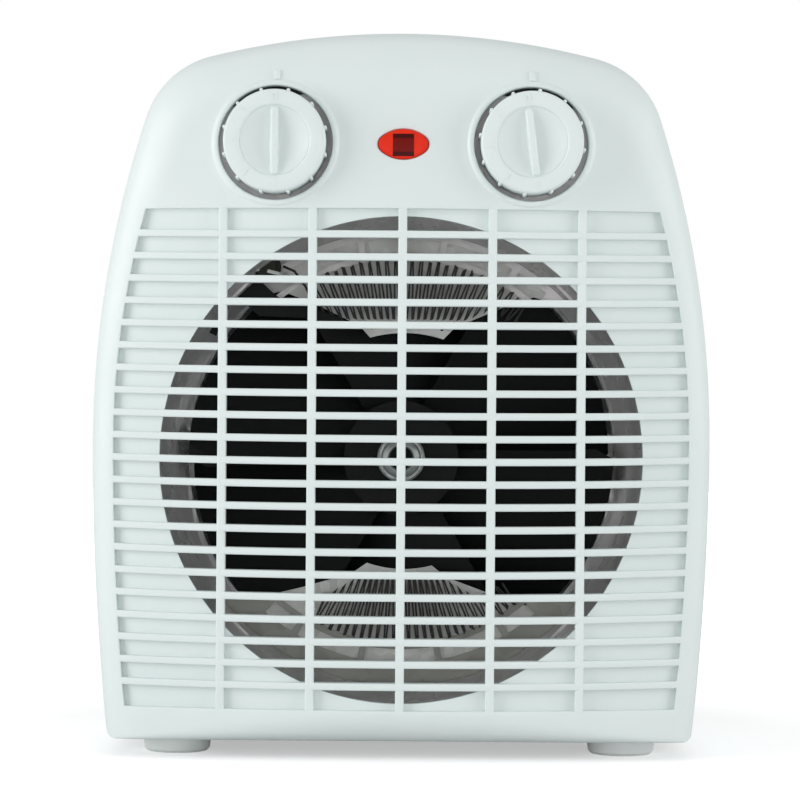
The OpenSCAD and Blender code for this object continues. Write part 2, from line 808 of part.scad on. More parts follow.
// a bar across the motor with a cup for a bearing; d is -1 in front and 1 behind
module bearing_bracket(y, d) {
  y0 = d < 0 ? y - 1.5 : y;
  cup0 = d < 0 ? y - 4.2 : y;
  difference() {
    union() {
      block(-28, 28, y0, y0 + 1.5, axis_z - 6.5, axis_z + 6.5);
      rod(0, axis_z, cup_r, cup0, cup0 + 4.2, 48);
      if (d < 0) {
        for (s = [-1, 1]) {
          rod(s * bolt_x, axis_z, 4, strap_y + strap_t, y);
        }
      }
    }
    rod(0, axis_z, bearing_r + seat, d < 0 ? y - 3.4 : y - 1, d < 0 ? y + 1 : y + 3.4, 48);
    rod(0, axis_z, shaft_r + 0.6, y - 6, y + 6);
    for (s = [-1, 1]) {
      rod(s * bolt_x, axis_z, bolt_r + 0.1, y - 7, y + 3);
    }
  }
}
module front_bearing_bracket() {
  color("silver") bearing_bracket(motor_y, -1);
}
module rear_bearing_bracket() {
  color("silver") bearing_bracket(motor_y + stack_t, 1);
}
module bearing(y0, y1) {
  difference() {
    rod(0, axis_z, bearing_r, y0, y1, 48);
    rod(0, axis_z, shaft_r + running, y0 - 1, y1 + 1);
  }
}
module front_bearing() {
  color("goldenrod") bearing(motor_y - 3.4, motor_y);
}
module rear_bearing() {
  color("goldenrod") bearing(motor_y + stack_t, motor_y + stack_t + 3.4);
}
module motor_strap() {
  color("silver") difference() {
    union() {
      block(-duct_r - 1.8, duct_r + 1.8, strap_y, strap_y + strap_t, axis_z - 9, axis_z + 9);
      for (s = [-1, 1]) {
        block(s * (duct_r + 1.05) - 0.75, s * (duct_r + 1.05) + 0.75, strap_y - 12, strap_y + strap_t, axis_z - 9, axis_z + 9);
      }
    }
    rod(0, axis_z, cup_r + 1, strap_y - 1, strap_y + 3, 48);
    for (s = [-1, 1]) {
      rod(s * bolt_x, axis_z, bolt_r + 0.1, strap_y - 1, strap_y + 3);
      translate([0, strap_y - 6, axis_z]) rotate([0, s * 90, 0]) translate([0, 0, duct_r - 2]) cylinder(r = screw_r, h = 9, $fn = 24);
    }
  }
}
module motor_bolts() {
  color("silver") for (s = [-1, 1]) {
    difference() {
      union() {
        rod(s * bolt_x, axis_z, bolt_r, strap_y - 3, motor_y + stack_t + 2.5);
        rod(s * bolt_x, axis_z, 3, motor_y + stack_t + 1.5, motor_y + stack_t + 3.7);
        rod(s * bolt_x, axis_z, 3.2, strap_y - 2.4, strap_y, 6);
      }
      block(s * bolt_x - 2.2, s * bolt_x + 2.2, motor_y + stack_t + 2.7, motor_y + stack_t + 5, axis_z - 0.4, axis_z + 0.4);
    }
  }
}
module strap_screws() {
  color("silver") for (s = [-1, 1]) {
    translate([0, strap_y - 6, axis_z]) rotate([0, s * 90, 0]) {
      translate([0, 0, duct_in - 3]) cylinder(r = screw_r - seat, h = 6, $fn = 24);
      translate([0, 0, duct_r + 1.8]) cylinder(r = 3, h = 1.8, $fn = 32);
    }
  }
}

// ---- controls ----
control_back_y = plate_y + plate_t;
spindle_r = 3;
spindle_flat = 2.1;           // how far the flat of a spindle is from its axis
knob_front_y = -body_d / 2;
knob_back_y = plate_y - 0.7;
knob_r = knob_d / 2;
dish_r = 12.4;
dish_depth = 3.4;
nub_count = 12;
neck_y = plate_y - 2;    // front end of a control's neck

// the round end of a spindle, cut to a D; grow widens it for the hole it fits
module spindle_bar(x, y0, y1, grow) {
  intersection() {
    rod(x, knob_z, spindle_r + grow, y0, y1);
    block(x - 5, x + 5, y0 - 1, y1 + 1, knob_z - 5, knob_z + spindle_flat + grow);
  }
}
module spindle(x) {
  union() {
    rod(x, knob_z, spindle_r, neck_y - 1.5, control_back_y + 6);
    spindle_bar(x, knob_front_y + 6.5, neck_y - 1, 0);
  }
}
module knob(x, turn) {
  difference() {
    union() {
      difference() {
        rod(x, knob_z, knob_r, knob_front_y, knob_back_y, 96);
        rod(x, knob_z, knob_r - 1.9, knob_front_y + 5.6, knob_back_y + 1, 96);
      }
      for (k = [0 : nub_count - 1]) {
        rod(x + (knob_r + 0.3) * cos(k * 30 + 15 + turn), knob_z + (knob_r + 0.3) * sin(k * 30 + 15 + turn), 0.65,
          knob_front_y + 1, knob_back_y, 16);
      }
      rod(x, knob_z, 5.4, knob_front_y + 2, neck_y - 1.8, 48);
    }
    // dished middle
    difference() {
      intersection() {
        rod(x, knob_z, dish_r, knob_front_y - 1, knob_front_y + dish_depth + 1, 96);
        translate([x, knob_front_y + dish_depth - 26, knob_z]) sphere(r = 26, $fn = 96);
      }
      translate([x, 0, knob_z]) rotate([0, -turn, 0]) translate([-x, 0, -knob_z])
        block(x - 1.3, x + 1.3, knob_front_y - 2, knob_front_y + dish_depth + 2, knob_z - 12, knob_z + 12);
    }
    spindle_bar(x, knob_front_y + 6, neck_y, seat);
  }
}
module switch_knob() {
  color("white") knob(-knob_x, 0);
}
module thermostat_knob() {
  color("white") knob(knob_x, thermostat_turn);
}
module switch_spindle() {
  color("silver") spindle(-knob_x);
}
module thermostat_spindle() {
  color("silver") spindle(knob_x);
}
// the plate behind the front that carries the switch and the thermostat
module control_plate() {
  color("silver") difference() {
    slab(plate_y, plate_y + plate_t)
      translate([0, knob_z])
        polygon([[-72, -19.8], [72, -19.8], [72, -5], [62, 13], [24, 20], [-24, 20], [-62, 13], [-72, -5]]);
    for (s = [-1, 1]) {
      rod(s * knob_x, knob_z, bush_r, plate_y - 1, plate_y + 3);
      for (t = [-1, 1]) {
        rod(s * knob_x + t * control_screw_x, knob_z, screw_r, plate_y - 1, plate_y + 3);
      }
    }
    for (p = plate_post_at) {
      rod(p[0], p[1], screw_r, plate_y - 1, plate_y + 3);
    }
    block(-barrel / 2 - 1, barrel / 2 + 1, plate_y - 1, plate_y + 3, lens_z - barrel / 2 - 1, lens_z + barrel / 2 + 1);
  }
}
module plate_screws() {
  color("silver") for (p = plate_post_at) {
    screw(p[0], p[1], post_hole_r - seat, plate_y - 3.6, plate_y + plate_t, 2.8, 1.9);
  }
}
// neck and flange by which a control sits behind the plate
module control_neck(x) {
  difference() {
    union() {
      rod(x, knob_z, bush_r - 0.1, neck_y, control_back_y + 1, 48);
      block(x - 15.5, x + 15.5, control_back_y, control_back_y + 2, knob_z - 8, knob_z + 8);
    }
    for (t = [-1, 1]) {
      rod(x + t * control_screw_x, knob_z, post_hole_r, control_back_y - 1, control_back_y + 3);
    }
    rod(x, knob_z, spindle_r + running, neck_y - 1, control_back_y + 9);
  }
}
module rotary_switch() {
  color("gray") union() {
    control_neck(-knob_x);
    difference() {
      block(-knob_x - 14, -knob_x + 14, control_back_y + 3.6, control_back_y + 19, knob_z - 13, knob_z + 13);
      rod(-knob_x, knob_z, spindle_r + running, control_back_y, control_back_y + 6.2);
    }
    difference() {
      block(-knob_x - 9.8, -knob_x + 9.8, control_back_y + 1, control_back_y + 4, knob_z - 8, knob_z + 8);
      rod(-knob_x, knob_z, spindle_r + running, control_back_y, control_back_y + 6.2);
    }
    for (i = [-1 : 1]) {
      for (j = [-1, 1]) {
        block(-knob_x + i * 8 - 0.4, -knob_x + i * 8 + 0.4, control_back_y + 18, control_back_y + 26,
          knob_z + j * 7 - 3.15, knob_z + j * 7 + 3.15);
      }
    }
  }
}
module thermostat() {
  color("gray") union() {
    control_neck(knob_x);
    difference() {
      block(knob_x - 9.8, knob_x + 9.8, control_back_y + 1, control_back_y + 9, knob_z - 9, knob_z + 9);
      rod(knob_x, knob_z, spindle_r + running, control_back_y, control_back_y + 6.2);
    }
    // stack of contacts with its bimetal strip
    block(knob_x - 9.8, knob_x - 1.8, control_back_y + 8, control_back_y + 24, knob_z - 6, knob_z + 6);
    block(knob_x - 3, knob_x + 22, control_back_y + 19, control_back_y + 20, knob_z - 5, knob_z + 5);
    block(knob_x - 3, knob_x + 16, control_back_y + 13, control_back_y + 13.8, knob_z - 4, knob_z + 4);
    block(knob_x - 17, knob_x - 9, control_back_y + 12, control_back_y + 12.8, knob_z - 3.15, knob_z + 3.15);
  }
}
module control_screws() {
  color("silver") for (s = [-1, 1]) {
    for (t = [-1, 1]) {
      rod(s * knob_x + t * control_screw_x, knob_z, post_hole_r - seat, plate_y - 0.6, control_back_y + 3.2, 24);
      difference() {
        rod(s * knob_x + t * control_screw_x, knob_z, 2.6, plate_y - 1.6, plate_y, 32);
        block(s * knob_x + t * control_screw_x - 2, s * knob_x + t * control_screw_x + 2, plate_y - 3, plate_y - 0.9,
          knob_z - 0.35, knob_z + 0.35);
      }
    }
  }
}

// ---- pilot light ----
lens_front_y = front_y + 1.1;
lens_lip_y = front_y + 5;
barrel = 9.4;
barrel_in = 7.8;
barrel_end_y = front_y + 18;
module pilot_lens() {
  color("red") difference() {
    union() {
      oval_rod(lens_w, lens_h, lens_front_y, lens_lip_y + 1);
      oval_rod(lens_w + 2, lens_h + 2, lens_lip_y, lens_lip_y + 1.5);
      block(-barrel / 2, barrel / 2, lens_lip_y, barrel_end_y, lens_z - barrel / 2, lens_z + barrel / 2);
    }
    block(-barrel_in / 2, barrel_in / 2, lens_front_y + 1.6, barrel_end_y + 1, lens_z - barrel_in / 2, lens_z + barrel_in / 2);
  }
}
module neon_lamp() {
  color("orange") union() {
    rod(0, lens_z, 2.6, lens_front_y + 4, barrel_end_y - 2);
    block(-barrel_in / 2 + seat, barrel_in / 2 - seat, barrel_end_y - 3, barrel_end_y + 1,
      lens_z - barrel_in / 2 + seat, lens_z + barrel_in / 2 - seat);
    for (s = [-1, 1]) {
      rod(s * 2, lens_z, 0.4, barrel_end_y, barrel_end_y + 8, 16);
    }
  }
}

// ---- mains side ----
term_x = 36;
term_y = back_y - 34;
term_z = base_z + wall;
term_pole = 11;
module terminal_block() {
  color("ivory") difference() {
    union() {
      block(term_x, term_x + 3 * term_pole, term_y, term_y + 18, term_z, term_z + 6);
      for (i = [0 : 2]) {
        block(term_x + i * term_pole + 1, term_x + (i + 1) * term_pole - 1, term_y, term_y + 18, term_z, term_z + 14);
      }
    }
    for (i = [0 : 2]) {
      rod(term_x + (i + 0.5) * term_pole, term_z + 6, 2.2, term_y - 1, term_y + 19);
      for (v = [5, 13]) {
        translate([term_x + (i + 0.5) * term_pole, term_y + v, term_z + 6]) cylinder(r = 2, h = 9, $fn = 24);
      }
    }
  }
}
module terminal_screws() {
  color("silver") for (i = [0 : 2]) {
    for (v = [5, 13]) {
      translate([term_x + (i + 0.5) * term_pole, term_y + v, term_z + 6]) difference() {
        cylinder(r = 2 - seat, h = 6, $fn = 24);
        translate([-3, -0.3, 5]) cube([6, 0.6, 2]);
      }
    }
  }
}
module cord_bushing() {
  color("dimgray") difference() {
    union() {
      rod(bushing_at[0], bushing_at[1], bushing_flange_r, back_y - bushing_flange_t, back_y, 64);
      rod(bushing_at[0], bushing_at[1], bushing_r, back_y - wall - 2, back_y, 64);
      rod(bushing_at[0], bushing_at[1], 7.6, back_y - wall - 2.5, back_y - wall, 64);
    }
    rod(bushing_at[0], bushing_at[1], cord_r, back_y - wall - 3, back_y + 1, 48);
  }
}

front_housing();
rear_housing();
feet();
housing_screws();
duct();
duct_screws();
upper_element_frame();
lower_element_frame();
frame_rivets();
upper_mica_plate();
lower_mica_plate();
mica_rivets();
upper_heating_wire();
lower_heating_wire();
thermal_cutoff();
cutoff_bracket();
fan();
fan_cap();
motor_shaft();
rotor();
stator();
motor_coil();
front_bearing_bracket();
rear_bearing_bracket();
front_bearing();
rear_bearing();
motor_strap();
motor_bolts();
strap_screws();
rotary_switch();
switch_spindle();
switch_knob();
thermostat();
thermostat_spindle();
thermostat_knob();
control_screws();
control_plate();
plate_screws();
pilot_lens();
neon_lamp();
terminal_block();
terminal_screws();
cord_bushing();
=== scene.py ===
import json
import math

import bmesh
import bpy
import numpy as np
from mathutils import Matrix, Vector
from mathutils.geometry import delaunay_2d_cdt


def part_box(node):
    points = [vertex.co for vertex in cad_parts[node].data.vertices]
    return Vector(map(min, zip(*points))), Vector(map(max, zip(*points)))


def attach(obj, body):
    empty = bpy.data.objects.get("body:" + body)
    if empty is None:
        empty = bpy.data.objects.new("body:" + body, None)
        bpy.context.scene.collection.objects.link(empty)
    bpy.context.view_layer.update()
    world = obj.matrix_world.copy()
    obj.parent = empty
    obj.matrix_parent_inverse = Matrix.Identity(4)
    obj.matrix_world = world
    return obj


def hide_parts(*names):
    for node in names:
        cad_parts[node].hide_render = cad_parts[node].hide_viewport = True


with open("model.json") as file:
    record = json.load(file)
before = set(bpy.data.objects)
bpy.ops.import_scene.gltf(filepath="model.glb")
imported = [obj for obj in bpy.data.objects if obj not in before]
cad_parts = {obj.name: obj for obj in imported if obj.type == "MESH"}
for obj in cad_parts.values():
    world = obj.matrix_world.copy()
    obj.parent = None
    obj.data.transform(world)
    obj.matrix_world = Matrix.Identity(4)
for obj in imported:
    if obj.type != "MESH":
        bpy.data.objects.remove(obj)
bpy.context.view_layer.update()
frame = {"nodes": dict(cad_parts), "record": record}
nodes = frame["nodes"]


# ---------------------------------------------------------------- node helpers
def new_material(name):
    """A material with only its output and a Principled shader."""
    mat = bpy.data.materials.new(name)
    mat.use_nodes = True
    tree = mat.node_tree
    tree.nodes.clear()
    out = tree.nodes.new("ShaderNodeOutputMaterial")
    bsdf = tree.nodes.new("ShaderNodeBsdfPrincipled")
    tree.links.new(bsdf.outputs[0], out.inputs[0])
    return mat, tree, bsdf


def position(tree):
    """Object coordinates: every piece sits at the origin, so they are places on the heater in metres."""
    return tree.nodes.new("ShaderNodeTexCoord").outputs["Object"]


def stretched(tree, vector, scale):
    node = tree.nodes.new("ShaderNodeMapping")
    node.inputs["Scale"].default_value = scale
    tree.links.new(vector, node.inputs["Vector"])
    return node.outputs[0]


def noise(tree, vector, scale, detail=2.0, rough=0.5):
    node = tree.nodes.new("ShaderNodeTexNoise")
    node.inputs["Scale"].default_value = scale
    node.inputs["Detail"].default_value = detail
    node.inputs["Roughness"].default_value = rough
    tree.links.new(vector, node.inputs["Vector"])
    return node.outputs["Fac"]


def cells(tree, vector, scale):
    node = tree.nodes.new("ShaderNodeTexVoronoi")
    node.inputs["Scale"].default_value = scale
    tree.links.new(vector, node.inputs["Vector"])
    return node


def ramp(tree, value, stops):
    """A colour ramp from (place, colour) stops; a colour is a grey level or an RGB triple."""
    node = tree.nodes.new("ShaderNodeValToRGB")
    bar = node.color_ramp
    while len(bar.elements) < len(stops):
        bar.elements.new(0.5)
    for element, (place, colour) in zip(bar.elements, stops):
        element.position = place
        rgb = (colour,) * 3 if isinstance(colour, (int, float)) else colour
        element.color = (*rgb, 1.0)
    tree.links.new(value, node.inputs[0])
    return node.outputs[0]


def bump(tree, bsdf, height, strength, distance):
    node = tree.nodes.new("ShaderNodeBump")
    node.inputs["Strength"].default_value = strength
    node.inputs["Distance"].default_value = distance
    tree.links.new(height, node.inputs["Height"])
    tree.links.new(node.outputs[0], bsdf.inputs["Normal"])


def mix(tree, fac, a, b):
    """The colour between a and b; each may be a socket or an RGB triple, and fac a socket or a number."""
    node = tree.nodes.new("ShaderNodeMix")
    node.data_type = "RGBA"
    for slot_index, value in ((0, fac), (6, a), (7, b)):
        if isinstance(value, bpy.types.NodeSocket):
            tree.links.new(value, node.inputs[slot_index])
        elif slot_index == 0:
            node.inputs[0].default_value = value
        else:
            node.inputs[slot_index].default_value = (*value, 1.0)
    return node.outputs[2]


def calc(tree, op, a, b=0.0):
    """A Math node on two values, each a socket or a number."""
    node = tree.nodes.new("ShaderNodeMath")
    node.operation = op
    for i, value in ((0, a), (1, b)):
        if isinstance(value, bpy.types.NodeSocket):
            tree.links.new(value, node.inputs[i])
        else:
            node.inputs[i].default_value = value
    return node.outputs[0]


def split(tree, vector):
    node = tree.nodes.new("ShaderNodeSeparateXYZ")
    tree.links.new(vector, node.inputs[0])
    return node.outputs


# ------------------------------------------------------------------- materials
def moulded(name, base, tint, roughness, grain=2600.0, depth=0.00002, shine=0.5):
    """Moulded plastic: slow colour drift, fine spark-eroded grain, uneven gloss."""
    mat, tree, bsdf = new_material(name)
    place = position(tree)
    drift = noise(tree, place, 14.0, 3.0)
    colour = mix(tree, ramp(tree, drift, ((0.35, 0.0), (0.68, 1.0))), base, tint)
    tree.links.new(colour, bsdf.inputs["Base Color"])
    gloss = noise(tree, place, 45.0, 4.0)
    spread = ramp(tree, gloss, ((0.3, roughness - 0.05), (0.7, roughness + 0.06)))
    tree.links.new(spread, bsdf.inputs["Roughness"])
    bump(tree, bsdf, noise(tree, place, grain, 2.0), 0.35, depth)
    bsdf.inputs["IOR"].default_value = 1.48
    bsdf.inputs["Specular IOR Level"].default_value = shine
    return mat


def galvanised(name, dark, light, roughness, metallic=0.12):
    """Zinc-coated sheet: angular spangles that differ in tone, over soft clouds."""
    mat, tree, bsdf = new_material(name)
    place = position(tree)
    spangle = cells(tree, place, 160.0)
    tone = noise(tree, place, 60.0, 4.0)
    level = calc(tree, "MULTIPLY_ADD", split(tree, spangle.outputs["Color"])[0], 0.45)
    level.node.inputs[2].default_value = 0.12
    level = calc(tree, "ADD", level, calc(tree, "MULTIPLY", tone, 0.5))
    tree.links.new(ramp(tree, level, ((0.2, dark), (0.8, light))), bsdf.inputs["Base Color"])
    dullness = ((0.1, roughness + 0.1), (0.9, roughness - 0.08))
    tree.links.new(ramp(tree, level, dullness), bsdf.inputs["Roughness"])
    bump(tree, bsdf, tone, 0.25, 0.0002)
    bsdf.inputs["Metallic"].default_value = metallic
    return mat


def bright_steel(name, base, roughness):
    """Zinc-plated small parts with faint turning marks and handling stains."""
    mat, tree, bsdf = new_material(name)
    place = position(tree)
    marks = noise(tree, stretched(tree, place, (1.0, 12.0, 1.0)), 900.0, 2.0)
    stains = noise(tree, place, 120.0, 3.0)
    darker = tuple(0.7 * c for c in base)
    stained = mix(tree, ramp(tree, stains, ((0.4, 0.0), (0.75, 1.0))), base, darker)
    tree.links.new(stained, bsdf.inputs["Base Color"])
    turned = ramp(tree, marks, ((0.3, roughness - 0.08), (0.7, roughness + 0.1)))
    tree.links.new(turned, bsdf.inputs["Roughness"])
    bump(tree, bsdf, marks, 0.3, 0.00003)
    bsdf.inputs["Metallic"].default_value = 0.95
    return mat


def mica_board():
    """Mica board: pressed flakes with soft edges and brownish clouds."""
    mat, tree, bsdf = new_material("mica")
    place = position(tree)
    flakes = cells(tree, place, 260.0)
    clouds = noise(tree, place, 70.0, 5.0)
    shade = split(tree, flakes.outputs["Color"])[1]
    flake = ramp(tree, shade, ((0.0, (0.60, 0.60, 0.585)), (1.0, (0.76, 0.76, 0.74))))
    cloudy = ramp(tree, clouds, ((0.45, 0.0), (0.75, 0.6)))
    tree.links.new(mix(tree, cloudy, flake, (0.46, 0.43, 0.37)), bsdf.inputs["Base Color"])
    bsdf.inputs["Roughness"].default_value = 0.42
    bump(tree, bsdf, flakes.outputs["Distance"], 0.2, 0.0002)
    return mat


def resistance_wire():
    """Oxidised resistance wire: dark, with brown and blue heat tints along the strands."""
    mat, tree, bsdf = new_material("element_wire")
    place = position(tree)
    tint = noise(tree, place, 95.0, 3.0)
    tints = ((0.3, (0.018, 0.018, 0.018)), (0.5, (0.036, 0.033, 0.03)), (0.7, (0.024, 0.026, 0.03)))
    tree.links.new(ramp(tree, tint, tints), bsdf.inputs["Base Color"])
    bsdf.inputs["Metallic"].default_value = 0.4
    bsdf.inputs["Roughness"].default_value = 0.5
    bump(tree, bsdf, noise(tree, place, 5000.0, 2.0), 0.3, 0.00003)
    return mat


def stacked_sheets(name, base, groove):
    """Motor iron: the edges of sheets stacked along the shaft, blued and slightly oily."""
    mat, tree, bsdf = new_material(name)
    place = position(tree)
    y = split(tree, place)[1]
    sheet = calc(tree, "PINGPONG", y, 0.0005)
    line = ramp(tree, calc(tree, "MULTIPLY", sheet, 2000.0), ((0.0, 0.0), (0.35, 1.0)))
    stain = noise(tree, place, 55.0, 4.0)
    colour = mix(tree, line, groove, base)
    stained = ramp(tree, stain, ((0.5, 0.0), (0.8, 0.5)))
    tree.links.new(mix(tree, stained, colour, (0.10, 0.07, 0.05)), bsdf.inputs["Base Color"])
    bsdf.inputs["Metallic"].default_value = 0.7
    bsdf.inputs["Roughness"].default_value = 0.45
    bump(tree, bsdf, line, 0.6, 0.0001)
    return mat


def wound_tape():
    """Winding under varnished tape: overlapping turns of tape with a soft sheen."""
    mat, tree, bsdf = new_material("coil_tape")
    place = position(tree)
    x = split(tree, place)[0]
    lap = calc(tree, "PINGPONG", x, 0.003)
    edge = ramp(tree, calc(tree, "MULTIPLY", lap, 333.0), ((0.0, 0.0), (0.12, 1.0)))
    blotch = noise(tree, place, 80.0, 4.0)
    colour = mix(tree, blotch, (0.42, 0.045, 0.03), (0.26, 0.03, 0.025))
    tree.links.new(mix(tree, edge, (0.12, 0.015, 0.012), colour), bsdf.inputs["Base Color"])
    bsdf.inputs["Roughness"].default_value = 0.35
    bump(tree, bsdf, edge, 0.5, 0.0002)
    return mat


def lens_red():
    """Red plastic over a square lamp barrel: the red darkens towards the oval's edge, and the barrel's square
    is painted shade seen through the lens, deeper in bands at its top and bottom.
    """
    mat, tree, bsdf = new_material("red_lens")
    place = position(tree)
    lo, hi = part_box("pilot_lens")
    x, _, z = split(tree, place)
    across = calc(tree, "ABSOLUTE", calc(tree, "SUBTRACT", x, (lo.x + hi.x) / 2))
    up = calc(tree, "ABSOLUTE", calc(tree, "SUBTRACT", z, (lo.z + hi.z) / 2))
    low = calc(tree, "ABSOLUTE", calc(tree, "SUBTRACT", z, (lo.z + hi.z) / 2 - 0.00033))
    edge = calc(tree, "MAXIMUM", calc(tree, "MULTIPLY", across, 1.06), low)
    # painted shade: the lamp barrel's square, as it shows dark through the lens
    barrel_shade_mask = ramp(tree, calc(tree, "MULTIPLY", edge, 100.0), ((0.388, 1.0), (0.408, 0.0)))
    wide = calc(tree, "POWER", calc(tree, "DIVIDE", across, (hi.x - lo.x) / 2), 2.0)
    tall = calc(tree, "POWER", calc(tree, "DIVIDE", up, (hi.z - lo.z) / 2), 2.0)
    rim = ramp(tree, calc(tree, "ADD", wide, tall), ((0.72, 0.0), (0.86, 1.0)))
    clouds = noise(tree, place, 420.0, 3.0)
    bright = mix(tree, clouds, (0.70, 0.022, 0.008), (0.82, 0.036, 0.014))
    bright = mix(tree, rim, bright, (0.45, 0.014, 0.006))
    # painted shade, deeper in bands across the square's top and bottom
    bars = ramp(tree, calc(tree, "MULTIPLY", low, 100.0), ((0.225, 0.0), (0.25, 1.0)))
    dark = mix(tree, bars, (0.16, 0.003, 0.001), (0.055, 0.001, 0.001))
    tree.links.new(mix(tree, barrel_shade_mask, bright, dark), bsdf.inputs["Base Color"])
    bsdf.inputs["Roughness"].default_value = 0.34
    bsdf.inputs["IOR"].default_value = 1.49
    bsdf.inputs["Specular IOR Level"].default_value = 0.12
    bump(tree, bsdf, clouds, 0.06, 0.0002)
    return mat


def lamp_glass():
    """The neon lamp's thin glass, tinted orange."""
    mat, tree, bsdf = new_material("lamp_glass")
    place = position(tree)
    glow = noise(tree, place, 300.0, 2.0)
    tints = ((0.3, (0.8, 0.35, 0.18)), (0.7, (0.95, 0.55, 0.3)))
    tree.links.new(ramp(tree, glow, tints), bsdf.inputs["Base Color"])
    bsdf.inputs["Transmission Weight"].default_value = 0.6
    bsdf.inputs["Roughness"].default_value = 0.08
    return mat


CUTOFF_OLIVE = ((0.018, 0.02, 0.012), (0.032, 0.034, 0.022))
FAN_BLACK = ((0.0045, 0.0055, 0.005), (0.0075, 0.0088, 0.008))
looks = {
    "white_shell": moulded("white_shell", (0.705, 0.775, 0.765), (0.73, 0.795, 0.785), 0.42),
    "rubber_foot": moulded("rubber_foot", (0.80, 0.84, 0.82), (0.84, 0.87, 0.86), 0.6, 1400.0, 0.00005),
    "steel_screw": bright_steel("steel_screw", (0.62, 0.62, 0.64), 0.3),
    "galvanised": galvanised("galvanised", (0.54, 0.525, 0.52), (0.67, 0.645, 0.645), 0.32),
    # painted shade: a darker copy of the galvanised sheet, worn by the lower carrier
    "carrier_sheet_painted_shade": galvanised("carrier_sheet_painted_shade", (0.25, 0.25, 0.225), (0.31, 0.31, 0.28), 0.45),
    "clip_steel": galvanised("clip_steel", (0.30, 0.32, 0.31), (0.42, 0.45, 0.44), 0.42, 0.6),
    "mica": mica_board(),
    "cutoff_body": moulded("cutoff_body", *CUTOFF_OLIVE, 0.5, 900.0, 0.00004, 0.2),
    "element_wire": resistance_wire(),
    "black_plastic": moulded("black_plastic", *FAN_BLACK, 0.5, 1800.0, 0.00003, 0.16),
    "laminations": stacked_sheets("laminations", (0.16, 0.17, 0.19), (0.04, 0.045, 0.05)),
    "coil_tape": wound_tape(),
    "bronze": bright_steel("bronze", (0.52, 0.36, 0.18), 0.45),
    "phenolic": moulded("phenolic", (0.035, 0.028, 0.024), (0.055, 0.04, 0.032), 0.35, 900.0, 0.00004),
    "red_lens": lens_red(),
    "lamp_glass": lamp_glass(),
    "ivory_plastic": moulded("ivory_plastic", (0.70, 0.66, 0.54), (0.76, 0.72, 0.60), 0.4),
}
slot_of = {part["node"]: part["material_slot"] for part in frame["record"]["subparts"]}
for name, piece in nodes.items():
    piece.data.materials.clear()
    piece.data.materials.append(looks[slot_of[name]])

# ------------------------------------------------------- sizes, in millimetres
MM = 1000.0
joint_at = {j["name"]: [MM * c for c in j["pos_m"]] for j in frame["record"]["behaviour"]["joints"]}
rear_lo, rear_hi = (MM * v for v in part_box("rear_housing"))
knob_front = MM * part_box("switch_knob")[0].y
KNOB_STAND = 6.0      # the knobs stand this far in front of the face
FRONT_DEPTH = 26.0    # from the face to the seam between the two mouldings
WALL = 2.6            # how thick both mouldings are
front_y = knob_front + KNOB_STAND
back_y = rear_hi.y
base_z = rear_lo.z
top_z = rear_hi.z
half_w = rear_hi.x
seam_y = front_y + FRONT_DEPTH
axis_z = joint_at["fan_spin"][2]
knob_z = joint_at["switch_turn"][2]
knob_at = {"switch_knob": joint_at["switch_turn"][0], "thermostat_knob": joint_at["thermostat_turn"][0]}
lens_z = knob_z - 0.5
wide_z = 113.0        # the height at which the outline is widest

# radii and centres of the outline's tangent arcs
TOP_R, SHOULDER_R, UPPER_R, LOWER_R, FOOT_R = 284.0, 33.0, 380.0, 960.0, 4.0
top_c = np.array([0.0, top_z - TOP_R])
upper_c = np.array([half_w - UPPER_R, wide_z])
lower_c = np.array([half_w - LOWER_R, wide_z])


def meet(p, rp, q, rq):
    """The right-hand point where two circles cross."""
    d = np.linalg.norm(q - p)
    a = (rp * rp - rq * rq + d * d) / (2 * d)
    h = math.sqrt(rp * rp - a * a)
    u = (q - p) / d
    return p + a * u + h * np.array([-u[1], u[0]])


def heading(p, q):
    """The direction from p to q, in radians."""
    return math.atan2(q[1] - p[1], q[0] - p[0])


shoulder_c = meet(upper_c, UPPER_R - SHOULDER_R, top_c, TOP_R - SHOULDER_R)
top_end, side_end = heading(top_c, shoulder_c), heading(upper_c, shoulder_c)
corner_z = base_z + FOOT_R
corner_c = np.array([lower_c[0] + math.sqrt((LOWER_R - FOOT_R) ** 2 - (corner_z - wide_z) ** 2), corner_z])
corner_tilt = heading(lower_c, corner_c)


def arc(c, r, a, b, n):
    """n points on an arc from heading a towards b; the last point is left to the next run."""
    turns = [a + (b - a) * i / n for i in range(n)]
    return [(c[0] + r * math.cos(t), c[1] + r * math.sin(t)) for t in turns]


def outline(inset):
    """The housing seen from the front, drawn in by inset, anticlockwise from the middle of its base."""
    if inset < FOOT_R:
        corner = arc(corner_c, FOOT_R - inset, -math.pi / 2, corner_tilt, 8)
        start = corner_tilt
    else:
        z = base_z + inset
        x = lower_c[0] + math.sqrt((LOWER_R - inset) ** 2 - (z - wide_z) ** 2)
        corner = [(x, z)] * 8
        start = heading(lower_c, (x, z))
    x0, z0 = corner[0]
    half = [(x0 * i / 30, z0) for i in range(30)] + corner
    half += arc(lower_c, LOWER_R - inset, start, 0, 36)
    half += arc(upper_c, UPPER_R - inset, 0, side_end, 30)
    half += arc(shoulder_c, SHOULDER_R - inset, side_end, top_end, 20)
    half += arc(top_c, TOP_R - inset, top_end, math.pi / 2, 24)
    half.append((0.0, top_z - inset))
    return half + [(-x, z) for x, z in reversed(half[1:-1])]


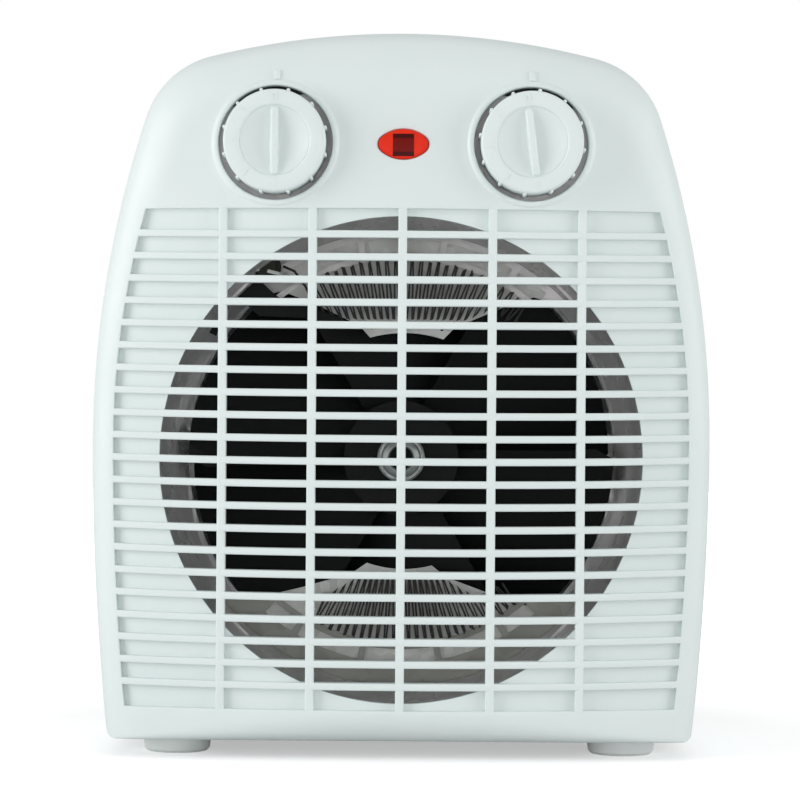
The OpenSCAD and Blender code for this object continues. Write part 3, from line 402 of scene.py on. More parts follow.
def side_gap(x, z):
    """Distance inwards from the top and the sides of the outline."""
    x = np.abs(x)
    to_top = TOP_R - np.hypot(x - top_c[0], z - top_c[1])
    upper = UPPER_R - np.hypot(x - upper_c[0], z - upper_c[1])
    lower = LOWER_R - np.hypot(x - lower_c[0], z - lower_c[1])
    gap = np.minimum(to_top, np.where(z > wide_z, upper, lower))
    turn = np.arctan2(z - shoulder_c[1], x - shoulder_c[0])
    round_gap = SHOULDER_R - np.hypot(x - shoulder_c[0], z - shoulder_c[1])
    return np.where((turn > side_end) & (turn < top_end), round_gap, gap)


def smooth_max(a, b, k):
    """The larger of a and b, blended where they differ by less than k."""
    h = np.maximum(k - np.abs(a - b), 0) / k
    return np.maximum(a, b) + h * h * k / 4


ROLL_R = 16           # the radius on which the face's edge rolls in
ROLL_END = 4.686      # how far in from the outline the roll has turned to 45 degrees
SIDE_EDGE, BASE_EDGE = 23, 14    # how far behind the face its edge lies, at the sides and top and at the base
BULGE_R, LEAN_R, LEAN_Z = 410.0, 300.0, 190


def rolled(gap, start):
    """Depth of an edge that rolls in on a radius to a 45 degree slope."""
    gap = np.maximum(gap, 0)
    bend = start - ROLL_R * np.sqrt(np.maximum(1 - (1 - np.minimum(gap, ROLL_END) / ROLL_R) ** 2, 0))
    return bend - np.maximum(gap - ROLL_END, 0)


def skin(x, z):
    """Depth of the front face at a place on it: it bulges sideways and leans back over the controls."""
    x, z = np.asarray(x, float), np.asarray(z, float)
    bulge = BULGE_R - np.sqrt(BULGE_R ** 2 - x * x)
    lean = LEAN_R - np.sqrt(LEAN_R ** 2 - np.maximum(z - LEAN_Z, 0) ** 2)
    face = front_y + np.hypot(bulge, lean)
    face = smooth_max(face, rolled(side_gap(x, z), front_y + SIDE_EDGE), 7.0)
    return smooth_max(face, rolled(z - base_z, front_y + BASE_EDGE), 4.0)


# --------------------------------------------------------------- mesh helpers
class Shape:
    """Points and faces of one piece, gathered in millimetres."""

    def __init__(self):
        self.points, self.faces = [], []

    def ring(self, points):
        """Adds points and gives their numbers."""
        first = len(self.points)
        self.points += [tuple(p) for p in points]
        return list(range(first, len(self.points)))

    def strip(self, a, b, closed=True):
        """Faces between two rows of as many points."""
        n = len(a)
        for i in range(n if closed else n - 1):
            j = (i + 1) % n
            self.faces.append((a[i], a[j], b[j], b[i]))

    def rows(self, rings, closed=True):
        """Adds rings of as many points each, with faces from each to the next."""
        made = [self.ring(r) for r in rings]
        for a, b in zip(made, made[1:]):
            self.strip(a, b, closed)
        return made

    def cap(self, ring):
        """One face across a ring."""
        self.faces.append(tuple(ring))

    def sheet(self, outer, holes, depth, step):
        """A triangulated face across Y inside the outer loop and outside the holes; depth gives its Y."""
        loops = [np.array(loop, float) for loop in [outer] + holes]
        spots, edges = [], []
        for loop in loops:
            n = len(spots)
            spots += [tuple(p) for p in loop]
            edges += [(n + i, n + (i + 1) % len(loop)) for i in range(len(loop))]
        lo, hi = loops[0].min(0), loops[0].max(0)
        across, up = (np.arange(lo[i] + step / 2, hi[i], step) for i in (0, 1))
        gx, gz = np.meshgrid(across, up)
        grid = np.column_stack([gx.ravel(), gz.ravel()])
        near = np.empty(len(grid))
        edge_points = np.vstack(loops)
        for part in np.array_split(np.arange(len(grid)), 40):
            near[part] = np.hypot(*(grid[part][:, None] - edge_points[None]).transpose(2, 0, 1)).min(1)
        grid = grid[within(grid, loops) & (near > 0.45 * step)]
        spots += [tuple(p) for p in grid]
        made = delaunay_2d_cdt([Vector(p) for p in spots], edges, [], 0, 1e-5)
        flat = np.array([tuple(v) for v in made[0]])
        tris = np.array([f for f in made[2] if len(f) == 3])
        tris = tris[within(flat[tris].mean(1), loops)]
        first = len(self.points)
        self.points += list(zip(flat[:, 0], depth(flat[:, 0], flat[:, 1]), flat[:, 1]))
        self.faces += [tuple(first + i for i in t) for t in tris.tolist()]

    def piece(self, name, slot_name, body, replaced=(), sharp=38.0, weld=0.002, look=None):
        """The finished piece, riding on a body in place of CAD nodes; look replaces its slot's material."""
        mesh = bpy.data.meshes.new(name)
        mesh.from_pydata([tuple(c / MM for c in p) for p in self.points], [], self.faces)
        bm = bmesh.new()
        bm.from_mesh(mesh)
        bmesh.ops.remove_doubles(bm, verts=bm.verts, dist=weld / MM)
        bmesh.ops.dissolve_degenerate(bm, edges=bm.edges, dist=1e-7)
        bmesh.ops.recalc_face_normals(bm, faces=bm.faces)
        bm.to_mesh(mesh)
        bm.free()
        mesh.shade_smooth()
        mesh.set_sharp_from_angle(angle=math.radians(sharp))
        obj = bpy.data.objects.new(name, mesh)
        bpy.context.scene.collection.objects.link(obj)
        obj.data.materials.append(looks[look or slot_name])
        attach(obj, body)
        if replaced:
            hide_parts(*replaced)


def within(places, loops):
    """Which places lie inside an odd number of the loops."""
    inside = np.zeros(len(places), bool)
    x, z = places[:, 0], places[:, 1]
    for loop in loops:
        nxt = np.roll(loop, -1, 0)
        for (x0, z0), (x1, z1) in zip(loop, nxt):
            if z0 == z1:
                continue
            crosses = (z0 > z) != (z1 > z)
            inside ^= crosses & (x < (x1 - x0) * (z - z0) / (z1 - z0) + x0)
    return inside


def at_depth(loop, y):
    """Points in space from places (x, z), all at one depth."""
    return [(x, y, z) for x, z in loop]


def circle(cx, cz, r, n):
    """n places on a circle about (cx, cz)."""
    turns = [2 * math.pi * i / n for i in range(n)]
    return [(cx + r * math.cos(t), cz + r * math.sin(t)) for t in turns]


def stadium(cx, cz, half_x, half_z, radius, turn=0.0):
    """A rounded rectangle about a middle, turned anticlockwise by turn degrees."""
    radius = max(0.02, min(radius, half_x, half_z))
    loop = []
    for k, (sx, sz) in enumerate(((1, 1), (-1, 1), (-1, -1), (1, -1))):
        mx, mz = sx * (half_x - radius), sz * (half_z - radius)
        turns = [math.pi / 2 * (k + i / 6) for i in range(7)]
        loop += [(mx + radius * math.cos(t), mz + radius * math.sin(t)) for t in turns]
    c, s = math.cos(math.radians(turn)), math.sin(math.radians(turn))
    return [(cx + x * c - z * s, cz + x * s + z * c) for x, z in loop]


def oval(w, h, n=72):
    """The pilot lens's outline: four tangent arcs about its own middle."""
    a, b = w / 2, h / 2
    e = 0.64 * b
    r = ((a - e) ** 2 + b * b - e * e) / (2 * (b - e))
    points = []
    for i in range(n):
        t = 2 * math.pi * i / n
        ux, uz = math.cos(t), math.sin(t)
        far = -abs(uz) * (r - b) + math.sqrt((uz * (r - b)) ** 2 + b * (2 * r - b))
        x, z = far * abs(ux), far * abs(uz)
        if x > r * (a - e) / (r - e):
            far = abs(ux) * (a - e) + math.sqrt(e * e - ((a - e) * uz) ** 2)
        points.append((far * ux, far * uz))
    return points


def on_skin(points, drop=0.0):
    """Places on the front face, sunk by drop, as points in space."""
    xz = np.array(points)
    return list(zip(xz[:, 0], skin(xz[:, 0], xz[:, 1]) + drop, xz[:, 1]))


# ------------------------------------------------------------ the front shell
RECESS_TOP, RECESS_BASE, RECESS_SIDE_R, MARGIN = top_z - 64.6, 18.3, 310.0, 8.2
WELL_R, WELL_LIP_R, WELL_DEPTH = 20.4, 23.1, 9.0
OUTLET_R = 86.5
LENS_SIZE = (17.9, 10.7)


def recess_half(z, grow):
    """Half the width of the grille's recess at a height."""
    if z > wide_z:
        return half_w - MARGIN - RECESS_SIDE_R + math.sqrt((RECESS_SIDE_R + grow) ** 2 - (z - wide_z) ** 2)
    return lower_c[0] + math.sqrt((LOWER_R - MARGIN + grow) ** 2 - (z - wide_z) ** 2)


def recess_loop(grow):
    """The recess's outline, drawn out by grow."""
    z0, z1 = RECESS_BASE - grow, RECESS_TOP + grow
    heights = [z0 + (z1 - z0) * i / 72 for i in range(73)]
    side = [(recess_half(z, grow), z) for z in heights]
    base = [(recess_half(z0, grow) * (i / 30 - 1), z0) for i in range(60)]
    over = [(recess_half(z1, grow) * (1 - i / 30), z1) for i in range(1, 60)]
    return base + side + over + [(-x, z) for x, z in reversed(side[1:])]


def soft_hole(shape, loop_at, radius, floor):
    """A rounded rim and a straight side around a hole; gives the loop where the rim meets the face."""
    steps = [(1.0, 0.0), (0.6, 0.083), (0.3, 0.286), (0.1, 0.564), (0.0, 1.0)]
    rings = [on_skin(loop_at(radius * out), radius * down) for out, down in steps]
    flat = loop_at(0.0)
    rings.append([(x, floor(x, z), z) for x, z in flat])
    shape.rows(rings)
    return loop_at(radius)


def front_shell():
    """The front moulding without its grille: face, edge, hem, recess, the lens's hole and the knob wells."""
    shape = Shape()
    insets = (0, 0.12, 0.35, 0.7, 1.2, 1.9, 2.8, 3.9, 5.2, 6.6)
    edge = [on_skin(outline(i)) for i in insets]
    hem = ((WALL, seam_y - WALL), (WALL, seam_y - 0.1), (0.3, seam_y - 0.1), (0, seam_y - 0.4))
    shape.rows([at_depth(outline(inset), y) for inset, y in hem] + edge)
    holes = [soft_hole(shape, recess_loop, 0.45, lambda x, z: float(skin(x, z)) + 3.0)]

    def lens_loop(grow):
        w, h = LENS_SIZE
        return [(x, z + lens_z) for x, z in oval(w + 0.3 + 2 * grow, h + 0.3 + 2 * grow)]

    holes.append(soft_hole(shape, lens_loop, 0.5, lambda x, z: front_y + 6.0))
    # the raised lip around a knob: radius and height over the face
    lip = ((WELL_LIP_R, 0.0), (22.8, 0.06), (22.5, 0.22), (22.25, 0.5), (22.0, 0.68), (21.7, 0.78),
           (21.3, 0.8), (20.9, 0.78), (20.65, 0.66), (20.48, 0.45), (WELL_R, 0.1))
    for x0 in knob_at.values():
        rings = [on_skin(circle(x0, knob_z, r, 128), -up) for r, up in lip]
        rings += [at_depth(circle(x0, knob_z, r, 128), front_y + WELL_DEPTH) for r in (WELL_R, WELL_R + 1.6)]
        shape.rows(rings)
        holes.append(circle(x0, knob_z, WELL_LIP_R, 128))
    shape.sheet(outline(insets[-1]), holes, skin, 2.8)
    return shape


def bar(shape, ends, across, width, depth, sunk=0.0, step=4.0, soft=0.5, drift=None):
    """A slat or rib with rounded front corners that follows the face.

    across is 'x' or 'z', the way it runs; drift gives how far a slat lies off its height at a place along it.
    """
    h = width / 2
    side = [(h, depth), (h, soft), (h - 0.08 * soft, 0.6 * soft), (h - 0.3 * soft, 0.28 * soft),
            (h - 0.62 * soft, 0.07 * soft), (h - 1.1 * soft, 0.0)]
    profile = side + [(-a, b) for a, b in reversed(side)]
    (a0, a1), at = ends
    n = max(2, int(abs(a1 - a0) / step))
    rows = []
    for i in range(n + 1):
        run = a0 + (a1 - a0) * i / n
        y = float(skin(run, at) if across == "x" else skin(at, run)) + sunk
        if across == "x":
            lift = drift(run) if drift else 0.0
            rows.append([(run, y + d, at + o + lift) for o, d in profile])
        else:
            rows.append([(at + o, y + d, run) for o, d in profile])
    made = shape.rows(rows)
    shape.cap(made[0])
    shape.cap(made[-1])


def sag(z, u):
    """How far a slat lies above its nominal height, u of the way from the middle to its end."""
    middle = -float(np.interp(z, (30.0, 50.0, 75.0, 125.0, 190.0), (0.3, 0.75, 0.85, 0.45, 0.1)))
    end = float(np.interp(z, (40.0, 80.0, 150.0, 190.0), (0.2, 0.2, 0.5, 0.35)))
    return middle + (end - middle) * min(abs(u), 1.0) ** 3


FIRST_SLAT = 73.5     # from the top of the housing down to the highest slat
SLATS, SLAT_PITCH, SLAT_WIDTH = 21, 8.0, 2.6
RIB_PITCH, RIB_WIDTH = 31.9, 3.1
BAR_DEPTH, PANEL_SINK = 4.8, 2.6


def grille():
    """The slats and ribs, and the sunk panel behind them with its round outlet."""
    shape = Shape()
    for k in range(SLATS):
        z = top_z - FIRST_SLAT - SLAT_PITCH * k
        half = recess_half(z, 0) + 0.42
        bar(shape, ((-half, half), z), "x", SLAT_WIDTH, BAR_DEPTH, drift=lambda x: sag(z, x / half))
    for j in range(-2, 3):
        bar(shape, ((RECESS_BASE - 0.4, RECESS_TOP + 0.4), RIB_PITCH * j), "z", RIB_WIDTH, BAR_DEPTH, 0.06)
    outlet = circle(0, axis_z, OUTLET_R, 220)
    shape.sheet(recess_loop(0.2), [outlet], lambda x, z: skin(x, z) + PANEL_SINK, 5.0)
    rim = ((OUTLET_R, PANEL_SINK), (OUTLET_R - 0.1, PANEL_SINK + 0.15), (OUTLET_R - 0.1, BAR_DEPTH))
    shape.rows([on_skin(circle(0, axis_z, r, 220), d) for r, d in rim])
    return shape


def index_bars():
    """The two raised marks above the knobs."""
    shape = Shape()
    dome = ((0.12, -0.3), (0.08, 0.2), (0.0, 0.55), (-0.12, 0.74), (-0.32, 0.8))
    for x0 in knob_at.values():
        stack = []
        for grow, up in dome:
            loop = stadium(x0 + 0.45, knob_z + 24.35, 1.05 + grow, 1.75 + grow, 0.45)
            stack.append(on_skin(loop, -up))
        made = shape.rows(stack)
        shape.cap(made[-1])
    return shape


# ------------------------------------------------------------- the rear shell
POSTS = [(-91, base_z + 19.8), (91, base_z + 19.8), (-86, top_z - 68.5), (86, top_z - 68.5)]
BUSHING = (66, 22)
INTAKE_R, INTAKE_PITCH, INTAKE_HALF = 76.0, 6.6, 1.8
BACK_ROLL = 14.0


def slot_loops(grow):
    """The air intake's slots, four to a row inside a circle, each drawn out by grow."""
    loops = []
    for k in range(-11, 12):
        for x0, x1 in ((-90, -39.6), (-36.4, -1.6), (1.6, 36.4), (39.6, 90)):
            low, high = INTAKE_PITCH * k - INTAKE_HALF, INTAKE_PITCH * k + INTAKE_HALF
            reach = [math.sqrt(max(INTAKE_R ** 2 - z * z, 0)) for z in (low, high)]
            ends = [(max(x0, -r), min(x1, r)) for r in reach]
            if min(b - a for a, b in ends) < 4:
                continue
            (a0, b0), (a1, b1) = ends
            z0, z1 = axis_z + low - grow, axis_z + high + grow
            loops.append([(a0 - grow, z0), (b0 + grow, z0), (b1 + grow, z1), (a1 - grow, z1)])
    return loops


def rear_shell():
    """The rear moulding: sides, rolled back edge, slotted back, screw holes and the bushing's seat."""
    shape = Shape()
    # how far each ring is drawn in and its depth, from the inside of the wall round to the back
    rings = [(WALL + 9.0, back_y - WALL), (WALL + 4.0, back_y - WALL - 2.5), (WALL + 0.8, back_y - WALL - 8),
             (WALL, back_y - 20), (WALL, seam_y + 0.1), (0.3, seam_y + 0.1), (0.0, seam_y + 0.4),
             (0.0, seam_y + 12), (0.0, 0.0), (0.0, back_y - BACK_ROLL - 12)]
    for degrees in range(0, 91, 9):
        t = math.radians(degrees)
        rings.append((BACK_ROLL * (1 - math.cos(t)), back_y - BACK_ROLL + BACK_ROLL * math.sin(t)))
    shape.rows([at_depth(outline(inset), y) for inset, y in rings])
    holes = []
    for wide, flat in zip(slot_loops(0.35), slot_loops(0.0)):
        soft = [((a + 2 * c) / 3, (b + 2 * d) / 3) for (a, b), (c, d) in zip(wide, flat)]
        steps = ((wide, 0.0), (soft, 0.08), (flat, 0.35), (flat, WALL))
        shape.rows([at_depth(loop, back_y - d) for loop, d in steps])
        holes.append(wide)
    for px, pz in POSTS:
        bore = ((4.1, 0.0), (3.8, 0.08), (3.62, 0.3), (3.6, 0.6), (3.6, 50.0), (1.9, 50.0))
        shape.rows([at_depth(circle(px, pz, r, 48), back_y - d) for r, d in bore])
        holes.append(circle(px, pz, 4.1, 48))
    seat = ((8.5, 0.0), (8.2, 0.1), (8.05, 0.4), (8.02, 1.5))
    shape.rows([at_depth(circle(*BUSHING, r, 64), back_y - d) for r, d in seat])
    holes.append(circle(*BUSHING, 8.5, 64))
    shape.sheet(outline(BACK_ROLL), holes, lambda x, z: np.full(np.shape(x), back_y), 6.0)
    shape.sheet(outline(WALL + 9.0), slot_loops(0.0), lambda x, z: np.full(np.shape(x), back_y - WALL), 8.0)
    return shape


# ------------------------------------------------------------------ the knobs
DISH_R, BOWL_R = 12.15, 30.0
FIN_HALF, FIN_LONG = 1.32, 12.0
TOOTH_AT, MARK_AT = 18.35, 15.3


def knob(x0, turn, back):
    """A turned knob with a dished middle, a grip fin across it, small teeth on its rim and moulded marks."""
    shape = Shape()
    front = knob_front
    rim = ((18.1, 1.2), (18.02, 0.66), (17.82, 0.3), (17.5, 0.09), (17.1, 0.0), (15.2, -0.12), (13.6, -0.1),
           (13.0, -0.02), (12.7, 0.12), (12.45, 0.4), (12.3, 0.8))
    profile = [(15.9, back), (17.9, back), (18.08, back - 0.25)] + [(r, front + d) for r, d in rim]
    dish = [DISH_R - DISH_R * i / 10 for i in range(10)]
    profile += [(r, front + 3.3 + math.sqrt(BOWL_R ** 2 - r * r) - BOWL_R) for r in dish]
    made = shape.rows([at_depth(circle(x0, knob_z, r, 144), y) for r, y in profile])
    shape.cap(made[-1])
    # the fin: how far its outline is drawn out, and how deep behind the front
    fin = ((0.9, 4.2), (0.45, 3.4), (0.22, 2.2), (0.1, 1.0), (0.02, 0.45), (-0.12, 0.16), (-0.32, 0.02),
           (-0.6, -0.05))
    stack = []
    for grow, depth in fin:
        loop = stadium(x0, knob_z, FIN_HALF + grow, FIN_LONG + min(grow, 0.25), 1.25 + grow, turn)
        stack.append(at_depth(loop, front + depth))
    made = shape.rows(stack)
    shape.cap(made[-1])

    def placed(degrees, r):
        t = math.radians(degrees + turn)
        return x0 + r * math.cos(t), knob_z + r * math.sin(t)

    tooth = ((0.65, back - 0.3), (0.65, front + 1.5), (0.58, front + 1.15), (0.38, front + 0.92),
             (0.12, front + 0.85))
    for degrees in range(15, 360, 30):
        made = shape.rows([at_depth(circle(*placed(degrees, TOOTH_AT), r, 20), y) for r, y in tooth])
        shape.cap(made[-1])
    # marks on the rim: a 0 at the top, strokes for the other settings
    face = front - 0.1
    zero = ((1.16, 1.56, 0.1), (1.1, 1.5, -0.22), (0.62, 1.02, -0.22), (0.56, 0.96, 0.1))
    at = placed(90, MARK_AT)
    shape.rows([at_depth(stadium(*at, hx, hz, hx, turn), face + d) for hx, hz, d in zero])
    for degrees, length in ((135, 1.0), (180, 1.0), (228, 1.5), (270, 1.0)):
        stroke = ((0.4, length + 0.06, 0.1), (0.32, length, -0.18), (0.2, length - 0.1, -0.22))
        at, lie = placed(degrees, MARK_AT), degrees - 90 + turn
        made = shape.rows([at_depth(stadium(*at, hx, hz, 0.3, lie), face + d) for hx, hz, d in stroke])
        shape.cap(made[-1])
    return shape


def lens():
    """The oval pilot lens, a little domed and let into the face, with the square barrel behind it."""
    shape = Shape()
    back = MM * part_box("pilot_lens")[1].y
    levels = [(1.0, 7.0), (1.0, 1.6), (0.985, 1.2), (0.95, 0.95), (0.88, 0.75)]
    levels += [(0.88 - 0.088 * i, 0.75 - 0.045 * i + 0.0022 * i * i) for i in range(1, 10)]
    oval_loop = oval(*LENS_SIZE)
    made = shape.rows([[(x * s, front_y + d, lens_z + z * s) for x, z in oval_loop] for s, d in levels])
    shape.cap(made[-1])
    barrel = stadium(0, lens_z, 4.7, 4.7, 0.6)
    shape.rows([at_depth(barrel, y) for y in (front_y + 7.0, back)])
    return shape


# ------------------------------------------------- the duct and what it carries
duct_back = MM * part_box("duct")[1].y
frame_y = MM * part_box("upper_element_frame")[0].y
mica_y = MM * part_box("upper_mica_plate")[0].y
MOUTH_R, DUCT_R, THROAT_R, SHEET = 86.45, 83.1, 80.5, 0.9
DROP = {1: 0.0, -1: 5.3}    # how much nearer the axis a side's element lies; 1 is above the axis, -1 below it
FRAME_LEVEL, FRAME_IN, FRAME_T, RIM_HIGH = 56.0, 72.9, 0.9, 7
WINDOW_IN, WINDOW_OUT = 75.0, 80.2
WINDOWS = ((-41.0, -31.9), (-30.1, -11.9), (-10.1, 10.1), (11.9, 30.1), (31.9, 41.0))
MICA_IN, MICA_OUT, MICA_T = 45.8, 81.5, 0.7
WIRE_OUT, WIRE_SHORT, WIRE_R = 72.3, 8.5, 0.36
STRANDS, WIRE_HALF, WIRE_TURN = 54, 33.5, 5.5


def plate(shape, outer, holes, y, thick):
    """A flat sheet with square edges, its front face at y."""
    for loop in [outer] + holes:
        shape.rows([at_depth(loop, y), at_depth(loop, y + thick)])
    for level in (y, y + thick):
        shape.sheet(outer, holes, lambda x, z: np.full(np.shape(x), level), 9.0)


def polar(r, degrees):
    """A place across and out from the axis, by its heading clockwise from straight out."""
    return r * math.sin(math.radians(degrees)), r * math.cos(math.radians(degrees))


def sector_arc(r, a, b, n):
    return [polar(r, a + (b - a) * i / n) for i in range(n + 1)]


def placed_on(side, loop):
    """From across-and-out places to places on the heater, above the axis or below it."""
    return [(u, axis_z + side * v) for u, v in loop]


def duct_sheet():
    """The round sheet duct: a flared mouth, a band for the element, a throat round the fan and four ears."""
    shape = Shape()
    steps = [(MOUTH_R, front_y + 15), (DUCT_R, front_y + 28), (DUCT_R, frame_y + 8), (THROAT_R, frame_y + 15),
             (THROAT_R, duct_back)]
    mouth_in = on_skin(circle(0, axis_z, MOUTH_R, 180), 4.6)
    mouth_out = on_skin(circle(0, axis_z, MOUTH_R + SHEET, 180), 4.85)
    inner = [at_depth(circle(0, axis_z, r, 180), y) for r, y in steps]
    outer = [at_depth(circle(0, axis_z, r + SHEET, 180), y) for r, y in reversed(steps)]
    made = shape.rows([mouth_in] + inner + outer + [mouth_out])
    shape.strip(made[-1], made[0])
    ear = ((DUCT_R + 0.5, -7), (DUCT_R + 19, -7), (DUCT_R + 19, 7), (DUCT_R + 0.5, 7))
    ear_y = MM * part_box("duct_screws")[0].y + 5.0
    for t in (45, 135, 225, 315):
        c, s = math.cos(math.radians(t)), math.sin(math.radians(t))
        plate(shape, [(r * c - w * s, axis_z + r * s + w * c) for r, w in ear], [], ear_y, 1.0)
    return shape


def element_frame(side):
    """A ring segment cut off level, with a row of windows between narrow bars and a rim along the duct."""
    shape = Shape()
    drop = DROP[side]
    level, r_out, r_in = FRAME_LEVEL - drop, DUCT_R - 0.1, FRAME_IN - drop
    wide = math.degrees(math.acos(level / r_out))
    near = math.degrees(math.acos(level / r_in)) - 1.0
    outer = sector_arc(r_out, -wide, wide, 60) + sector_arc(r_in, near, -near, 30)
    windows = []
    for a, b in WINDOWS:
        window = sector_arc(WINDOW_IN - drop, a, b, 12) + sector_arc(WINDOW_OUT - drop, b, a, 12)
        windows.append(placed_on(side, window))
    plate(shape, placed_on(side, outer), windows, frame_y, FRAME_T)
    out, inn = (placed_on(side, sector_arc(r, -wide, wide, 60)) for r in (r_out, r_out - 0.9))
    high = frame_y + RIM_HIGH
    rim = ((out, frame_y), (out, high), (inn, high), (inn, frame_y))
    shape.rows([at_depth(loop, y) for loop, y in rim], False)
    return shape


def mica_plate(side):
    """The sheet behind the wire and the windows, a little askew, with small holes near its inner edge."""
    shape = Shape()
    turn, along, rise = (1.0, 1.0, 0.0) if side > 0 else (-2.0, 1.0, -3.0)
    r_in, r_out = MICA_IN - DROP[side], MICA_OUT - DROP[side]
    right = [(17.5, r_in + 2.4), (35.0, r_in + 10.2 + 0.7 * rise), (46.0, r_in + 14.2 + rise)]
    left = [(-u, v) for u, v in reversed(right)]
    outer = sector_arc(r_in, -17.0, 17.0, 24) + right + sector_arc(r_out, 46.0, -46.0, 48) + left
    c, s = math.cos(math.radians(turn)), math.sin(math.radians(turn))

    def turned(loop):
        return placed_on(side, [(u * c + v * s + along, v * c - u * s) for u, v in loop])

    holes = [turned(circle(*polar(r_in + 3.4, t), 0.7, 12)) for t in (-15, -11, 11, 15)]
    plate(shape, turned(outer), holes, frame_y + 1.0, MICA_T)
    return shape


def sweep(shape, path, radius, sides):
    """A round wire along a path, with mitred bends and closed ends."""
    points = [Vector(p) for p in path]
    ways = [(b - a).normalized() for a, b in zip(points, points[1:])]
    rings = []
    for i, p in enumerate(points):
        before, after = ways[max(i - 1, 0)], ways[min(i, len(ways) - 1)]
        along = (before + after).normalized()
        side = along.cross(Vector((0, 1, 0)))
        side = side.normalized() if side.length > 0.1 else Vector((1, 0, 0))
        other = side.cross(along).normalized()
        stretch = 1.0 / max(0.4, along.dot(after))
        turns = [2 * math.pi * k / sides for k in range(sides)]
        rings.append([p + radius * (math.cos(a) * stretch * side + math.sin(a) * other) for a in turns])
    made = shape.rows(rings)
    shape.cap(made[0])
    shape.cap(made[-1])


def wire_bank(side):
    """Zigzag wire; its inner bends lie in a level row that rises towards the ends."""
    shape = Shape()
    # the height of the level row over the axis, half its length, and how steeply it rises past that
    level, half, slope = (51.0, 24.0, 0.5) if side > 0 else (42.6, 13.0, 0.55)
    step = 2 * WIRE_HALF / (STRANDS - 1)
    path = []
    for k in range(STRANDS):
        t = WIRE_TURN - WIRE_HALF + step * k
        across, out = polar(1.0, t)
        r_in = level / out
        if r_in * abs(across) > half:
            r_in = (level - slope * half) / (out - slope * abs(across))
        r_out = WIRE_OUT - DROP[side] + 0.5 * math.sin(1.7 * k)
        r_in = min(r_in, r_out - WIRE_SHORT)
        lean = 0.3 * step + 0.12 * math.sin(2.3 * k)
        first, last = (r_in, r_out) if k % 2 == 0 else (r_out, r_in)
        path += at_depth(placed_on(side, [polar(first, t - lean), polar(last, t + lean)]), mica_y - 1.6)
    # both ends turn back and are held in the sheet behind
    tails = [(x, frame_y + 1.3, z) for x, _, z in (path[0], path[-1])]
    sweep(shape, [tails[0]] + path + [tails[1]], WIRE_R, 6)
    return shape


def mica_pins():
    """Low domed rivet heads on the mica, one near each end of a sheet."""
    shape = Shape()
    dome = ((0.8, 0.0), (0.8, -0.25), (0.68, -0.5), (0.4, -0.66))
    for side in (1, -1):
        for t in (-34.0, 34.0):
            (at,) = placed_on(side, [polar(77.5 - DROP[side], t)])
            made = shape.rows([at_depth(circle(*at, r, 20), frame_y + 1.0 + d) for r, d in dome])
            shape.cap(made[-1])
    return shape


def hub_clip():
    """The spring clip on the fan's hub: a bright rim, a groove and a bevelled collar round a deep hole."""
    shape = Shape()
    lo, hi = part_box("fan_cap")
    y0, y1 = MM * lo.y, MM * hi.y
    profile = ((8.8, y1), (8.8, y0 + 1.4), (8.6, y0 + 1.15), (8.35, y0 + 1.4), (8.2, y0 + 2.4),
               (7.3, y0 + 2.4), (7.0, y0 + 1.2), (6.6, y0 + 0.7), (5.0, y0), (4.7, y0 + 0.1),
               (4.5, y0 + 0.6), (4.2, y1 - 0.4))
    shape.rows([at_depth(circle(0, axis_z, r, 72), y) for r, y in profile])
    return shape


# -------------------------------------------------------------- the cut-out
CUTOFF_AT = (-49.5, 176.0)
cutoff_y = frame_y - 13.0


def cutoff_arm():
    """The dark arm that carries the cut-out, from the duct's wall to the end of the upper element."""
    shape = Shape()
    arm = [(-70.5, 152.5), (-66.0, 168.0), (-59.0, 172.5), (-54.0, 173.5), (-46.5, 166.5), (-41.0, 162.5),
           (-31.5, 161.0), (-22.0, 157.8), (-22.0, 156.0), (-32.0, 157.6), (-52.0, 158.5), (-57.0, 163.0),
           (-62.0, 163.5), (-67.5, 151.0)]
    plate(shape, arm, [], cutoff_y + 6.0, 1.0)
    plate(shape, [(-44, 158.7), (-40, 158.7), (-40, 160.9), (-44, 160.9)], [], cutoff_y + 6.9, 6.0)
    return shape


def cutoff_switch():
    """The round snap-disc cut-out, stepped towards the front, with a sleeved lead and a bare one."""
    shape = Shape()
    y = cutoff_y
    for r, front, back in ((5.6, y, y + 6.0), (4.2, y - 1.4, y)):
        steps = ((r, back), (r, front + 0.4), (r - 0.4, front))
        made = shape.rows([at_depth(circle(*CUTOFF_AT, q, 40), d) for q, d in steps])
        shape.cap(made[0])
        shape.cap(made[-1])
    sleeved = [(-57, y - 0.3, 173.0), (-60, y + 1, 171.5), (-62, y + 4, 169.0), (-61, y + 7, 166.5)]
    bare = [(-43, y - 0.3, 176.2), (-39, y + 1, 174.5), (-35, y + 4, 169.0), (-31.5, y + 6, 161.5)]
    sweep(shape, sleeved, 1.1, 10)
    sweep(shape, bare, 0.45, 8)
    return shape


def cutoff_blades():
    """The cut-out's two terminals."""
    shape = Shape()
    for dx, dz in ((-4.6, -0.6), (3.4, -2.2)):
        blade = stadium(CUTOFF_AT[0] + dx, CUTOFF_AT[1] + dz, 2.6, 0.6, 0.3, -14.0)
        plate(shape, blade, [], cutoff_y - 2.2, 0.7)
    return shape


# ----------------------------------------------------------- all pieces placed
duct_sheet().piece("duct_sheet", "galvanised", "housing", ["duct"], 30.0)
